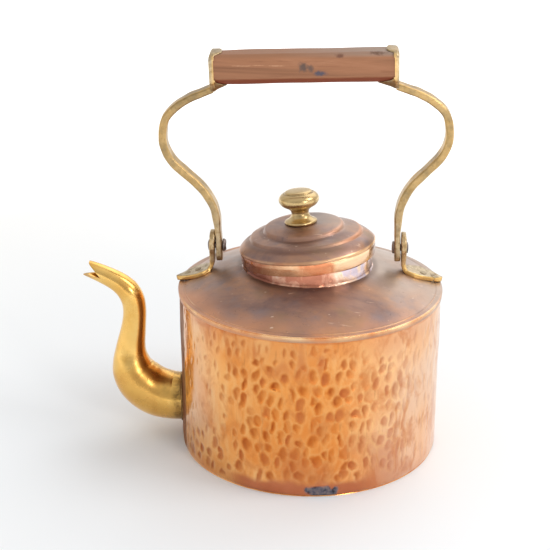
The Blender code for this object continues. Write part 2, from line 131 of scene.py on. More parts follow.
def grid_faces(rows, columns, wrap_rows=False):
    """Quads over a grid of vertices that closes round its columns, and round its rows if asked."""
    row = np.arange(rows if wrap_rows else rows - 1)[:, None]
    column = np.arange(columns)[None, :]
    next_row, next_column = (row + 1) % rows, (column + 1) % columns
    corners = [row * columns + column, row * columns + next_column,
               next_row * columns + next_column, next_row * columns + column]
    return np.stack(corners, -1).reshape(-1, 4)


def mesh_from(name, verts, faces, place=None):
    """A mesh with doubled points merged and its faces turned outwards, moved to its place."""
    mesh = bpy.data.meshes.new(name)
    mesh.from_pydata(np.asarray(verts).tolist(), [], [list(map(int, face)) for face in faces])
    bm = bmesh.new()
    bm.from_mesh(mesh)
    bmesh.ops.remove_doubles(bm, verts=bm.verts, dist=1e-7)
    bmesh.ops.recalc_face_normals(bm, faces=bm.faces)
    bm.to_mesh(mesh)
    bm.free()
    if place is not None:
        mesh.transform(place)
    return mesh


def add_piece(name, mesh, look, body, nodes, sharp=50.0):
    """Put a finished mesh in the scene as a piece that rides on a body and stands for CAD nodes."""
    mesh.shade_smooth()
    mesh.set_sharp_from_angle(angle=math.radians(sharp))
    mesh.materials.append(look)
    piece = bpy.data.objects.new(name, mesh)
    bpy.context.scene.collection.objects.link(piece)
    if nodes:
        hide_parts(*nodes)
    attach(piece, body)


def lathe(profile, steps, closed=True):
    """Vertices and quads of a (radius, height) outline turned about Z."""
    profile = np.array(profile, float)
    angle = np.linspace(0, math.tau, steps, endpoint=False)
    radius, height = profile[:, :1], profile[:, 1:]
    verts = np.stack([radius * np.cos(angle), radius * np.sin(angle),
                      height + 0 * angle], -1).reshape(-1, 3)
    return verts, grid_faces(len(profile), steps, wrap_rows=closed)


def tube(rings):
    """Skin a stack of rings, with a flat cap at each end."""
    rings = np.asarray(rings)
    count, sides = rings.shape[:2]
    caps = [range(sides), range((count - 1) * sides, count * sides)]
    return rings.reshape(-1, 3), [*grid_faces(count, sides), *caps]


def along(line):
    """Unit directions in XZ of a line whose rows start with x and z."""
    step = np.gradient(np.asarray(line)[:, :2], axis=0)
    return step / np.linalg.norm(step, axis=1)[:, None]


def rounded_section(across, depth, radius, steps=5):
    """A rounded rectangle, as (across, depth) rows going round."""
    radius = min(radius, across * 0.98, depth * 0.98)

    def on_corner(turn, share):
        a, b = ((1, 1), (-1, 1), (-1, -1), (1, -1))[turn % 4]
        angle = math.pi / 2 * (turn + share)
        return np.array((a * (across - radius) + radius * math.cos(angle),
                         b * (depth - radius) + radius * math.sin(angle)))

    made = []
    for turn in range(4):
        made += [on_corner(turn, step / steps) for step in range(steps + 1)]
        here, there = made[-1], on_corner(turn + 1, 0)
        made += [here + (there - here) * (step / steps) for step in range(1, steps)]
    return np.array(made)


def strap(line, edge):
    """A bar bent in XZ. The line's rows are x, z, half width in Y, middle in Y and thickness."""
    line = np.asarray(line, float)
    rings = []
    for (x, z, half, middle, thickness), (tx, tz) in zip(line, along(line)):
        section = rounded_section(thickness / 2, max(half, 0.0004), edge)
        rings.append(np.stack([x - tz * section[:, 0], middle + section[:, 1],
                               z + tx * section[:, 0]], -1))
    return tube(rings)


def dent(mesh, amount, size, seed):
    """Push a mesh in and out along its normals by smooth noise, as handwork leaves it."""
    shift = Vector((seed, seed * 0.7, seed * 1.3))
    moves = [vert.normal * (noise.noise(vert.co / size + shift) * amount) for vert in mesh.vertices]
    for vert, move in zip(mesh.vertices, moves):
        vert.co += move


def store(mesh, name, values):
    """Keep one number for each vertex, for the material to read."""
    mesh.attributes.new(name, "FLOAT", "POINT").data.foreach_set(
        "value", np.asarray(values, np.float32))


def positions(mesh):
    flat = np.zeros(len(mesh.vertices) * 3)
    mesh.vertices.foreach_get("co", flat)
    return flat.reshape(-1, 3)


def normals(mesh):
    return np.array([vert.normal for vert in mesh.vertices])


# --- Materials -------------------------------------------------------------------------------------

class Look:
    """One material's node tree, with short calls for what the looks here are built from.

    Its colour starts as one tone or ramp, and each call of over() lays another colour on it.
    """

    def __init__(self, name, metallic=1.0, roughness=0.3, coat=(0.0, 0.03), specular=0.5):
        self.material = bpy.data.materials.new(name)
        self.material.use_nodes = True
        self.tree = self.material.node_tree
        self.shader = self.tree.nodes["Principled BSDF"]
        for key, value in (("Metallic", metallic), ("Roughness", roughness), ("Coat Weight", coat[0]),
                           ("Coat Roughness", coat[1]), ("Specular IOR Level", specular)):
            self.shader.inputs[key].default_value = value
        self.place = self.new("TexCoord").outputs["Object"]
        self.colour = None

    def new(self, kind):
        return self.tree.nodes.new("ShaderNode" + kind)

    def put(self, socket, value):
        if isinstance(value, bpy.types.NodeSocket):
            self.tree.links.new(value, socket)
        else:
            socket.default_value = value

    def noise(self, scale, detail=5.0, rough=0.6, stretch=(1, 1, 1), warp=0.0, offset=(0, 0, 0)):
        mapping = self.new("Mapping")
        mapping.inputs["Scale"].default_value = stretch
        mapping.inputs["Location"].default_value = offset
        self.put(mapping.inputs["Vector"], self.place)
        made = self.new("TexNoise")
        for key, value in (("Vector", mapping.outputs[0]), ("Scale", scale), ("Detail", detail),
                           ("Roughness", rough), ("Distortion", warp)):
            self.put(made.inputs[key], value)
        return made.outputs["Fac"]

    def ramp(self, value, *stops):
        """A colour ramp over (position, colour) stops. A plain number is a grey."""
        made = self.new("ValToRGB")
        self.put(made.inputs["Fac"], value)
        elements = made.color_ramp.elements
        while len(elements) < len(stops):
            elements.new(0.5)
        for element, (position, colour) in zip(elements, stops):
            element.position = position
            element.color = colour if isinstance(colour, tuple) else (colour,) * 3 + (1.0,)
        return made.outputs["Color"]

    def patches(self, start, end, amount, scale, detail=5.0, rough=0.6, **options):
        """Noise that is 0 up to start and reaches an amount at end."""
        return self.ramp(self.noise(scale, detail, rough, **options), (start, 0.0), (end, amount))

    def span(self, value, start, end):
        """0 where a value is at start, 1 where it is at end and straight between."""
        made = self.new("MapRange")
        for key, given in (("Value", value), ("From Min", start), ("From Max", end)):
            self.put(made.inputs[key], given)
        return made.outputs[0]

    def mix(self, share, low, high, blend="MIX"):
        made = self.new("Mix")
        made.data_type = "RGBA"
        made.blend_type = blend
        for index, value in ((0, share), (6, low), (7, high)):
            self.put(made.inputs[index], value)
        return made.outputs[2]

    def over(self, share, red, green, blue, blend="MIX"):
        self.colour = self.mix(share, self.colour, srgb(red, green, blue), blend)

    def sum(self, operation, first, second):
        made = self.new("Math")
        made.operation = operation
        self.put(made.inputs[0], first)
        self.put(made.inputs[1], second)
        return made.outputs[0]

    def times(self, first, second):
        return self.sum("MULTIPLY", first, second)

    def stored(self, name):
        made = self.new("Attribute")
        made.attribute_name = name
        return made.outputs["Fac"]

    def spot(self, centre, size):
        """1 at a point and 0 past an ellipsoid round it, with a soft ragged edge."""
        mapping = self.new("Mapping")
        mapping.inputs["Location"].default_value = [-c / s for c, s in zip(centre, size)]
        mapping.inputs["Scale"].default_value = [1 / s for s in size]
        self.put(mapping.inputs["Vector"], self.place)
        ragged = self.times(self.sum("SUBTRACT", self.noise(420, 3), 0.5), 1.4)
        distance = self.sum("ADD", self.length(mapping.outputs[0]), ragged)
        return self.ramp(distance, (0.35, 1.0), (1.0, 0.0))

    def length(self, vector):
        made = self.new("VectorMath")
        made.operation = "LENGTH"
        self.put(made.inputs[0], vector)
        return made.outputs["Value"]

    def bump(self, height, distance, strength):
        made = self.new("Bump")
        made.inputs["Distance"].default_value = distance
        made.inputs["Strength"].default_value = strength
        self.put(made.inputs["Height"], height)
        self.put(self.shader.inputs["Normal"], made.outputs["Normal"])

    def finish(self, roughness=None):
        self.put(self.shader.inputs["Base Color"], self.colour)
        if roughness is not None:
            self.put(self.shader.inputs["Roughness"], roughness)
        return self.material


def hammered_copper():
    """Orange copper, darker in each hammer mark (patina in the hollows, with a painted shade on each
    mark's upper left), with paler patches, painted highlights on the crests between marks, a painted
    deeper shade at the front, a painted pale sheen to the sides and back, heat stains, a painted dark
    reflection down the left edge and a painted reflected shadow along the front of the foot.
    """
    look = Look("hammered_copper_look", coat=(0.12, 0.16), specular=0.15)
    marks, painted_pale_sheen, stain_and_dark_reflection, soot = (look.stored(name) for name in ("marks", "painted_pale_sheen", "stain_and_dark_reflection", "soot"))
    look.colour = srgb(250, 182, 108)
    look.over(look.patches(0.38, 0.62, 1.0, 30, 3), 240, 160, 84)
    look.over(look.patches(0.50, 0.66, 0.8, 85, 4, stretch=(1, 1, 0.3), warp=0.4), 252, 198, 132)
    # Painted sheen: a paler tint where the wall turns right, to the back and beside the spout, which also
    # pales the marks there.
    look.over(painted_pale_sheen, 240, 202, 172)
    core = look.mix(painted_pale_sheen, srgb(176, 92, 34), srgb(200, 138, 98))
    look.colour = look.mix(marks, look.colour, core)
    # Painted highlight on the crests between the hammer marks.
    look.over(look.times(look.stored("painted_crest_highlight"), 0.55), 255, 208, 144)
    # Painted shade: a deeper orange in and round the marks on the front of the wall.
    deep = look.times(look.stored("painted_front_shade"), look.ramp(marks, (0.0, 0.70), (0.4, 1.0)))
    look.over(deep, 238, 200, 150, "MULTIPLY")
    look.over(look.patches(0.50, 0.64, 0.55, 75, 5, 0.65, stretch=(1, 1, 0.55), warp=0.8), 208, 126, 66)
    look.over(look.stored("blush"), 188, 102, 62)
    # Painted shade: a darker reddish band at the foot of the wall, the reflected shadow of the floor,
    # strongest at the front.
    foot = look.mix(look.noise(48), srgb(176, 96, 60), srgb(214, 138, 98))
    look.colour = look.mix(look.stored("foot"), look.colour, foot)
    # A heat stain round the spout's root and a painted dark reflection in a strip down the wall's left
    # edge, both also rougher and less metallic.
    scorch_and_dark_reflection = look.mix(look.noise(160, 4), srgb(70, 40, 24), srgb(140, 80, 42))
    look.colour = look.mix(stain_and_dark_reflection, look.colour, scorch_and_dark_reflection)
    look.over(look.patches(0.62, 0.74, 0.3, 520, 2, stretch=(1, 1, 0.12)), 170, 108, 62)
    grime = look.ramp(look.noise(300, 4), (0.36, srgb(66, 62, 70)), (0.52, srgb(116, 114, 126)),
                      (0.66, srgb(150, 136, 134)))
    look.colour = look.mix(soot, look.colour, grime)
    look.put(look.shader.inputs["Metallic"], look.ramp(stain_and_dark_reflection, (0.3, 1.0), (0.9, 0.05)))
    gloss = look.ramp(look.noise(90), (0.35, 0.13), (0.70, 0.24))
    rough = look.sum("MAXIMUM", soot, look.ramp(stain_and_dark_reflection, (0.3, 0.0), (0.9, 1.0)))
    look.bump(look.noise(750, 4), 0.00006, 0.5)
    return look.finish(look.mix(rough, gloss, (0.7, 0.7, 0.7, 1.0)))


def aged_copper(name, warm, seed):
    """Brown patina over copper, with olive and bluish clouds, rubbed orange where hands go, with painted
    highlights on the lid's ridges and edges, painted shade in the lid's crooks and a painted pale sheen.
    """
    look = Look(name, metallic=0.9, coat=(0.5, 0.34))
    where = (seed, 2 * seed, seed)
    clouds = look.noise(24, 6, 0.62, warp=0.6, offset=where)
    look.colour = look.ramp(clouds, (0.32, srgb(124, 98, 94)), (0.48, srgb(156, 120, 104)),
                            (0.60, srgb(176, 132, 104)), (0.74, srgb(200, 148, 112)))
    look.over(look.patches(0.52, 0.68, 0.75, 31, offset=(seed + 3, 1, 4)), 126, 116, 122)
    look.over(look.patches(0.56, 0.72, 0.6, 27, offset=(seed + 7, 5, 2)), 150, 124, 88)
    # Rubbed orange where hands go on the shoulder, and a painted highlight on the lid's ridges to the
    # right.
    look.over(look.times(look.stored("rub_and_highlight"), warm), 214, 152, 112)
    # Painted sheen: a pale greyish tint where the shoulder and the lid's top face the right.
    look.over(look.stored("painted_sheen"), 184, 166, 152)
    # Darker in the seam and round the neck's foot, and a painted shade in the lid's crooks on the left
    # and front.
    look.over(look.stored("tarnish_and_shade"), 96, 62, 48)
    look.over(look.patches(0.63, 0.70, 0.55, 260, 3, 0.7, warp=1.5), 110, 88, 78)
    look.over(look.patches(0.69, 0.74, 0.45, 300, 2, stretch=(0.12, 1.0, 1), warp=0.6, offset=where),
              222, 190, 168)
    look.over(look.patches(0.70, 0.74, 0.7, 380, 3, stretch=(0.5, 1, 1), offset=(9, seed, 3)),
              232, 210, 190)
    # Polished edges, paler and smoother, with a painted highlight along them where they face the front
    # and right.
    polish_and_painted_light = look.stored("polish_and_painted_light")
    polish_and_highlight_tone = look.mix(look.patches(0.4, 0.6, 1.0, 34, 4), srgb(222, 144, 84), srgb(252, 208, 154))
    look.colour = look.mix(polish_and_painted_light, look.colour, polish_and_highlight_tone)
    roughness = look.ramp(look.noise(60, 6, 0.7), (0.3, 0.36), (0.7, 0.55))
    look.bump(look.noise(700), 0.00008, 0.5)
    return look.finish(look.mix(polish_and_painted_light, roughness, (0.22, 0.22, 0.22, 1.0)))


def bright_copper(name, scale, *tones):
    """Glossy copper, clouded over four tones from its dark stains to its palest patches, with a painted
    highlight and painted shade laid on from stored values.
    """
    look = Look(name, metallic=0.88, coat=(0.4, 0.12))
    clouds = look.noise(scale, 4, 0.55, stretch=(1, 1, 0.6), warp=0.5)
    # Painted highlight: the stored value shifts the clouds towards the paler tones, and where it is
    # negative towards the darker ones.
    clouds = look.sum("ADD", clouds, look.times(look.stored("polish_and_painted_light"), 0.11))
    look.colour = look.ramp(clouds, *zip((0.40, 0.47, 0.54, 0.60), tones))
    look.over(look.patches(0.56, 0.68, 0.6, 150, 4, stretch=(1, 1, 0.35)), 255, 210, 164)
    look.over(look.patches(0.62, 0.72, 0.5, 110, 5, 0.7, offset=(4, 2, 1)), 150, 84, 58)
    # Painted shade on the band's ends.
    look.over(look.stored("tarnish_and_shade"), 112, 56, 40)
    look.bump(look.noise(240, 4, stretch=(1, 1, 0.5)), 0.0002, 0.6)
    return look.finish(look.ramp(look.noise(80), (0.35, 0.14), (0.7, 0.30)))


def polished_brass(name, low, middle, high, dull):
    """Hand-rubbed brass in three tones, browner in its crooks and, on the spout, with a painted
    reflection where the riser faces the wall.
    """
    look = Look(name, coat=(0.25, 0.2))
    look.colour = look.ramp(look.noise(30, warp=0.5), (0.30, low), (0.50, middle), (0.70, high))
    look.over(look.patches(0.62, 0.74, 0.22, 140, 5, 0.7), 160, 122, 70)
    pits = look.ramp(look.noise(230, 5, 0.75, warp=0.6), (0.36, 1.0), (0.60, 0.35))
    # Browner in crooks and stains, and along the spout's riser where it faces the wall as a painted
    # reflection.
    look.over(look.times(look.stored("tarnish_and_shade"), pits), 96, 66, 32)
    look.bump(look.noise(500, 4), 0.00006, 0.6)
    return look.finish(look.ramp(look.noise(70), (0.35, dull), (0.7, dull + 0.12)))


def aged_brass(name, tarnish, seed):
    """Satin brass with olive and brown tarnish and pale mottling, with a painted highlight along its
    edges.
    """
    look = Look(name)
    clouds = look.noise(42, 6, 0.65, warp=0.4, offset=(seed, seed * 2, seed * 3))
    look.colour = look.ramp(clouds, (0.30, srgb(140, 116, 74)), (0.50, srgb(190, 156, 100)),
                            (0.68, srgb(216, 180, 120)))
    look.over(look.patches(0.44, 0.66, tarnish, 85, 5, 0.65, offset=(seed + 2, 0, 1)), 128, 112, 84)
    look.over(look.patches(0.58, 0.70, 0.7, 190, 5, 0.7, offset=(seed, 4, 1)), 102, 74, 48)
    mottled = look.ramp(look.noise(330, 5, 0.7), (0.34, srgb(126, 108, 86)),
                        (0.46, srgb(188, 170, 142)), (0.62, srgb(214, 200, 174)))
    # Pale grey mottled tarnish; on the tops of the lugs' feet it is also a painted reflection of the pale
    # room.
    look.colour = look.mix(look.times(look.stored("dull"), 0.85), look.colour, mottled)
    # Painted highlight where the stored edge value is set.
    look.over(look.stored("edge"), 246, 202, 128)
    look.bump(look.noise(420), 0.00014, 0.7)
    return look.finish(look.ramp(look.noise(120, 5, 0.7), (0.3, 0.28), (0.7, 0.46)))


def worn_metal(name, *tones):
    """Small rivets and nails in three tones, roughened by handling."""
    look = Look(name, metallic=0.9)
    look.colour = look.ramp(look.noise(240, 6, 0.7), *zip((0.32, 0.52, 0.72), tones))
    look.bump(look.noise(500), 0.00015, 0.7)
    return look.finish(look.ramp(look.noise(160), (0.3, 0.34), (0.7, 0.55)))


def solder_look(name, *tones):
    """Rough solder in three tones from its hollows to its rubbed tops."""
    look = Look(name, metallic=0.85)
    look.colour = look.ramp(look.noise(260, 5, 0.7), *zip((0.35, 0.55, 0.72), tones))
    look.bump(look.noise(600), 0.0002, 0.8)
    return look.finish(look.ramp(look.noise(120, 4), (0.3, 0.35), (0.7, 0.6)))


def grip_wood():
    """Reddish wood with its grain along X, greyer on top from wear and a painted sheen, and redder
    underneath.
    """
    look = Look("grip_wood_look", metallic=0.0, specular=0.22)
    grain = look.noise(95, 8, 0.68, stretch=(0.07, 1, 1), warp=0.9)
    look.colour = look.ramp(grain, (0.28, srgb(128, 84, 60)), (0.46, srgb(152, 106, 78)),
                            (0.58, srgb(164, 114, 84)), (0.74, srgb(178, 128, 98)))
    pores = look.patches(0.60, 0.70, 0.4, 620, 3, stretch=(0.05, 1, 1))
    look.over(pores, 120, 76, 54)
    split = look.new("SeparateXYZ")
    look.put(split.inputs[0], look.place)
    across = split.outputs["X"]
    height = look.sum("SUBTRACT", split.outputs["Z"], look.times(across, BAIL_LEAN))
    low, top = PIVOT.z + GRIP_LOW, PIVOT.z + GRIP_HIGH
    look.over(look.span(height, low + 0.0050, low + 0.0036), 128, 66, 44)
    uneven = look.ramp(look.noise(50, 4, stretch=(0.4, 1, 1)), (0.3, 0.45), (0.6, 0.95))
    # Greyer along the top: wear, and a painted sheen that is greyer towards the right.
    worn_and_sheen_top = look.times(look.span(height, top - 0.0032, top - 0.0012), uneven)
    greyer = look.mix(look.span(across, -0.02, 0.045), srgb(150, 108, 82), srgb(150, 134, 122))
    look.colour = look.mix(worn_and_sheen_top, look.colour, greyer)
    for centre, size, tone in KNOTS:
        look.over(look.spot(centre, size), *tone)
    look.bump(look.sum("ADD", grain, look.times(pores, -0.6)), 0.0004, 0.5)
    return look.finish(look.ramp(grain, (0.3, 0.42), (0.7, 0.60)))


# Dark marks on the front of the grip: middle, half sizes and colour.
KNOTS = [
    ((-0.0058, -0.005, 0.2748), (0.0042, 0.006, 0.0040), (104, 84, 76)),
    ((-0.0010, -0.005, 0.2738), (0.0028, 0.006, 0.0032), (112, 88, 78)),
    ((0.0052, -0.005, 0.2707), (0.0052, 0.006, 0.0024), (92, 84, 94)),
    ((0.0183, -0.005, 0.2825), (0.0040, 0.006, 0.0016), (120, 84, 68)),
    ((0.0430, -0.005, 0.2848), (0.0065, 0.006, 0.0022), (108, 80, 66)),
    ((-0.0470, -0.005, 0.2752), (0.0075, 0.006, 0.0005), (190, 142, 110)),
    ((-0.0360, -0.005, 0.2757), (0.0060, 0.006, 0.0004), (186, 138, 106)),
    ((-0.0240, -0.005, 0.2755), (0.0080, 0.006, 0.0005), (190, 142, 110))]


# --- Drum ------------------------------------------------------------------------------------------

MARK_SEED = 11
WALL_STEPS, WALL_ROWS = 720, 124
WALL_SHEET = 0.0012
FOOT_BAND = 0.0100           # height of the smooth band at the foot of the wall
MARK_PITCH = 0.0086          # distance between hammer marks round the wall
MARK_ROW = 0.0092            # and from one row of them to the next


def smooth_step(value, low, high):
    """0 at low, 1 at high and smooth between, whichever of the two is larger."""
    share = np.clip((np.asarray(value, float) - low) / (high - low), 0, 1)
    return share * share * (3 - 2 * share)


def drift(rng, shape, cells):
    """Smooth random values from -1 to 1 over a grid that closes round its columns."""
    coarse = rng.uniform(-1, 1, cells)
    rows = np.linspace(0, cells[0] - 1.001, shape[0])
    columns = np.linspace(0, cells[1], shape[1], endpoint=False)
    row, column = rows.astype(int), columns.astype(int)
    v = (rows - row)[:, None]
    u = (columns - column)[None, :]
    v, u = v * v * (3 - 2 * v), u * u * (3 - 2 * u)
    beside = (column + 1) % cells[1]
    low = coarse[row][:, column] * (1 - u) + coarse[row][:, beside] * u
    high = coarse[row + 1][:, column] * (1 - u) + coarse[row + 1][:, beside] * u
    return low * (1 - v) + high * v


def near_angle(angle, middle, spread, full=0.0):
    """1 up to full degrees from a direction round the kettle, falling to 0 at spread."""
    away = np.abs((np.degrees(angle) - middle + 180) % 360 - 180)
    return 1 - smooth_step(away, full, spread)


def near_value(values, middle, full, spread):
    """1 up to a distance full from a value, falling to 0 at spread."""
    return 1 - smooth_step(np.abs(values - middle), full, spread)


def between(lowest, highest, share):
    return lowest + (highest - lowest) * share


def hammer_marks(angle, height):
    """Three fields over a grid of the wall: the marks' depth in metres, their tone and their blush. The
    tone is patina in the hollows, darker on each mark's upper left as a painted shade.

    They crowd together in the lower front and at the back, and are small and few near the spout,
    near the rim and on the right, where they are also drawn out upwards.
    """
    rng = np.random.default_rng(MARK_SEED)
    around = angle * WALL_RADIUS
    length = math.tau * WALL_RADIUS
    depth, tone, blush = (np.zeros((len(height), len(angle))) for _ in range(3))
    columns = round(length / MARK_PITCH)

    def wander(broad, fine):
        """Smooth shifts in metres that pull the marks' outlines out of shape."""
        return broad * drift(rng, depth.shape, (24, 130)) + fine * drift(rng, depth.shape, (50, 300))

    bend_round, bend_up = wander(0.0009, 0.0004), wander(0.0012, 0.0005)
    for row in range(int((WALL_TOP - 0.006) / MARK_ROW)):
        for column in range(columns):
            s = (column + (row % 2) / 2 + rng.uniform(-0.34, 0.34)) * length / columns
            z = 0.0062 + (row + rng.uniform(-0.36, 0.36)) * MARK_ROW
            theta = s / WALL_RADIUS
            low = 1 - smooth_step(z, 0.082, 0.112)
            front, back = near_angle(theta, 281, 62, 30), 0.75 * near_angle(theta, 90, 95, 70)
            low_left = 0.7 * near_angle(theta, 226, 32, 16) * (1 - smooth_step(z, 0.024, 0.040))
            crowd = max(low * max(front, back), low_left)
            drawn = near_angle(theta, 335, 32, 12)
            wide = between(0.0020, 0.0037, crowd) * rng.uniform(0.62, 1.22)
            tall = between(0.0034, 0.0056, crowd) * rng.uniform(0.66, 1.26) * (1 + 0.7 * drawn)
            peak = between(0.00028, 0.00080, crowd) * rng.uniform(0.45, 1.0) * (1 - 0.35 * drawn)
            hue = between(0.70, 0.95, crowd) * rng.uniform(0.15, 1.0) * (1 - 0.3 * drawn)
            scorched = near_angle(theta, 234, 30, 16) * (1 - smooth_step(z, 0.022, 0.042))
            browned = near_angle(theta, 254, 40, 20) * smooth_step(z, 0.060, 0.085)
            hue = min(hue + 0.35 * scorched + 0.30 * browned, 1.0)
            red = 0.36 * (rng.uniform() < 0.16) * low * near_angle(theta, 285, 60, 20)
            red = max(red, 0.45 * scorched * rng.uniform(0.3, 1.0))
            lean = rng.uniform(-0.22, 0.22)
            missing = rng.uniform() > between(0.80, 0.94, crowd)
            if missing or (z < FOOT_BAND + 0.002 and near_angle(theta, 275, 46, 36) > 0.5):
                continue
            gap = (around - s + length / 2) % length - length / 2
            rise = np.flatnonzero(np.abs(height - z) < tall * 1.5)
            reach = np.flatnonzero(np.abs(gap) < wide * 1.9)
            window = np.ix_(rise, reach)
            ds = gap[reach][None, :] + bend_round[window]
            dz = (height[rise] - z)[:, None] + bend_up[window]
            q = ((ds - lean * dz) / wide) ** 2 + (dz / tall) ** 2
            core = q / between(0.90, 0.80, crowd) ** 2
            # Painted shade: each mark's tone is darker on its upper left, as if lit from the upper right.
            side = np.clip(0.60 - 0.50 * ds / wide + 0.40 * dz / tall, 0.15, 1.0)
            for field, values in ((depth, peak * np.clip(1 - q, 0, 1)),
                                  (tone, hue * side * (1 - smooth_step(core, 0.15, 1.05))),
                                  (blush, red * (1 - smooth_step(core, 0.5, 1.1)))):
                field[window] = np.maximum(field[window], values)
    return depth, tone, blush


def make_wall():
    """The hammered sheet, and the fields over it that its look reads."""
    angle = np.linspace(0, math.tau, WALL_STEPS, endpoint=False)
    height = np.linspace(0.0012, WALL_TOP - 0.0002, WALL_ROWS)
    depth, tone, red = hammer_marks(angle, height)
    rng = np.random.default_rng(MARK_SEED + 1)

    def wavy(rows, columns):
        return drift(rng, depth.shape, (rows, columns))

    waves = 0.00022 * wavy(5, 42) + 0.00010 * wavy(14, 70)
    z = height[:, None] + 0 * angle
    theta = angle[None, :] + 0 * height[:, None]
    calm = smooth_step(z, 0.003, 0.007) * (1 - smooth_step(z, WALL_TOP - 0.006, WALL_TOP - 0.002))
    right_folds = near_angle(theta, 335, 40, 15) * 0.00016 * wavy(6, 120)
    radius = WALL_RADIUS + np.minimum((waves + right_folds - depth) * calm, 0.00022)
    radius = radius - 0.0012 * (1 - smooth_step(z, 0.0, 0.0030)) ** 2
    outer = np.stack([radius * np.cos(angle), radius * np.sin(angle), z], -1)
    back = WALL_RADIUS - WALL_SHEET
    rest = [(WALL_RADIUS - 0.0003, WALL_TOP), (back, WALL_TOP), (back, 0.06), (back, 0.0004),
            (back + 0.0003, 0.0), (back - 0.0005, 0.0)]
    inner = lathe(rest, WALL_STEPS)[0].reshape(len(rest), WALL_STEPS, 3)
    rings = np.concatenate([outer, inner])
    mesh = mesh_from("wall", rings.reshape(-1, 3), grid_faces(len(rings), WALL_STEPS, wrap_rows=True))

    def field(name, values):
        store(mesh, name, np.concatenate([values.ravel(), np.zeros(len(rest) * WALL_STEPS)]))

    # Painted shade: the slopes of the marks that face down and left are added to the marks' tone.
    fall_up, fall_round = np.gradient(depth, height, angle * WALL_RADIUS)
    shaded_side = np.clip((0.8 * fall_up + 0.6 * fall_round) / 0.16, 0, 1)
    field("marks", np.clip(tone + 0.40 * shaded_side, 0, 1) * calm)
    # Painted highlight: the wall is paler where it stands above its smoothed self, on the crests between
    # marks.
    soft = depth
    for _ in range(3):
        soft = (soft + np.roll(soft, 1, 1) + np.roll(soft, -1, 1)) / 3
        soft = (soft + np.vstack([soft[:1], soft[:-1]]) + np.vstack([soft[1:], soft[-1:]])) / 3
    painted_crest_highlight = np.clip((soft - depth) / 0.00010, 0, 1)
    field("painted_crest_highlight", painted_crest_highlight * calm * (1 - 0.6 * near_angle(theta, 345, 50, 20)))
    # Painted shade: a deeper orange over the front of the wall, weaker near the rim.
    painted_front_shade = near_angle(theta, 264, 44, 12) * smooth_step(z, 0.004, 0.03)
    field("painted_front_shade", 0.9 * painted_front_shade * (1 - 0.6 * smooth_step(z, 0.080, 0.112)))

    patches, ragged = wavy(7, 26), wavy(9, 90)
    low_front = near_angle(theta, 286, 48, 18) * (1 - smooth_step(z, 0.015, 0.075))
    high_left = smooth_step(z, 0.080, 0.102) * near_angle(theta, 252, 60, 26)
    under_rim = smooth_step(z + 0.004 * patches, 0.090, 0.108) * near_angle(theta, 275, 62, 40)
    fold_line = near_value(z + 0.0004 * ragged, 0.1138, 0.0003, 0.0012) * near_angle(theta, 275, 75, 40)
    field("blush", np.maximum.reduce([
        red * calm, 0.45 * low_front * smooth_step(patches, -0.1, 0.7),
        0.6 * high_left * smooth_step(patches + 0.9 * ragged, 0.05, 0.8),
        0.26 * under_rim, 0.6 * fold_line]))
    # Painted sheen: the wall is tinted paler where it turns right, to the back and beside the spout.
    painted_pale_sheen = np.maximum.reduce([
        0.65 * near_angle(theta, 204, 32, 8) * smooth_step(z, 0.012, 0.040),
        between(1.0, 0.75, z / WALL_TOP) * near_angle(theta, 350, 72, 30),
        0.4 * near_angle(theta, 110, 60)])
    field("painted_pale_sheen", np.clip(painted_pale_sheen * (0.85 + 0.25 * patches), 0, 1))
    # Painted shade: a darker band at the foot of the wall, strongest at the front, as the reflected
    # shadow of the floor.
    band = 1 - smooth_step(z + 0.0022 * ragged, 0.0075, FOOT_BAND + 0.003)
    field("foot", band * np.maximum(near_angle(theta, 268, 40, 22), 0.12))
    from_spout = np.hypot((theta - math.pi) * WALL_RADIUS, z - SPOUT_LINE[0][1])
    low_left = (1 - smooth_step(z + 0.004 * ragged, 0.006, 0.022)) * near_angle(theta, 212, 34, 20)
    # A painted dark reflection in a strip down the left edge, a heat stain round the spout's root and a
    # faint stain low on the left.
    field("stain_and_dark_reflection", np.maximum.reduce([
        near_angle(theta, 189, 12, 9) * (0.88 + 0.12 * ragged),
        (1 - smooth_step(from_spout, 0.019, 0.026)) * (0.8 + 0.2 * ragged), 0.14 * low_left]))
    soot = near_angle(theta, 276.5, 11.5) * (1 - smooth_step(z, 0.004, 0.0105))
    soot = smooth_step(soot + 0.30 * wavy(24, 200), 0.28, 0.50)
    field("soot", soot * (z < 0.014))
    add_piece("wall", mesh, hammered_copper(), "kettle", ["body_wall"], 80)


def make_base():
    """The bottom sheet, turned up inside the wall."""
    outer = WALL_RADIUS - WALL_SHEET - GAP
    profile = eased([(0.0, 0.0012), (0.04, 0.0010), (outer - 0.012, 0.0004), (outer - 0.006, 0.0),
                     (outer, 0.0), (outer, 0.009), (outer - 0.0011, 0.009), (outer - 0.0011, 0.0020),
                     (outer - 0.0030, 0.0011), (0.04, 0.0021), (0.0, 0.0023)], 0.0006)
    mesh = mesh_from("base", *lathe(profile, 144, closed=False))
    look = aged_copper("base_copper_look", 0.3, 9.0)
    add_piece("base", mesh, look, "kettle", ["base_plate"])


def skewed(verts):
    """Slide a shoulder's points so that its neck end is centred on the neck."""
    radius = np.hypot(verts[:, 0], verts[:, 1])
    share = np.clip((BAND_INNER - radius) / (BAND_INNER - CONE_TOP_RADIUS), 0, 1)
    moved = verts.copy()
    moved[:, 0] += NECK_X * share
    return moved


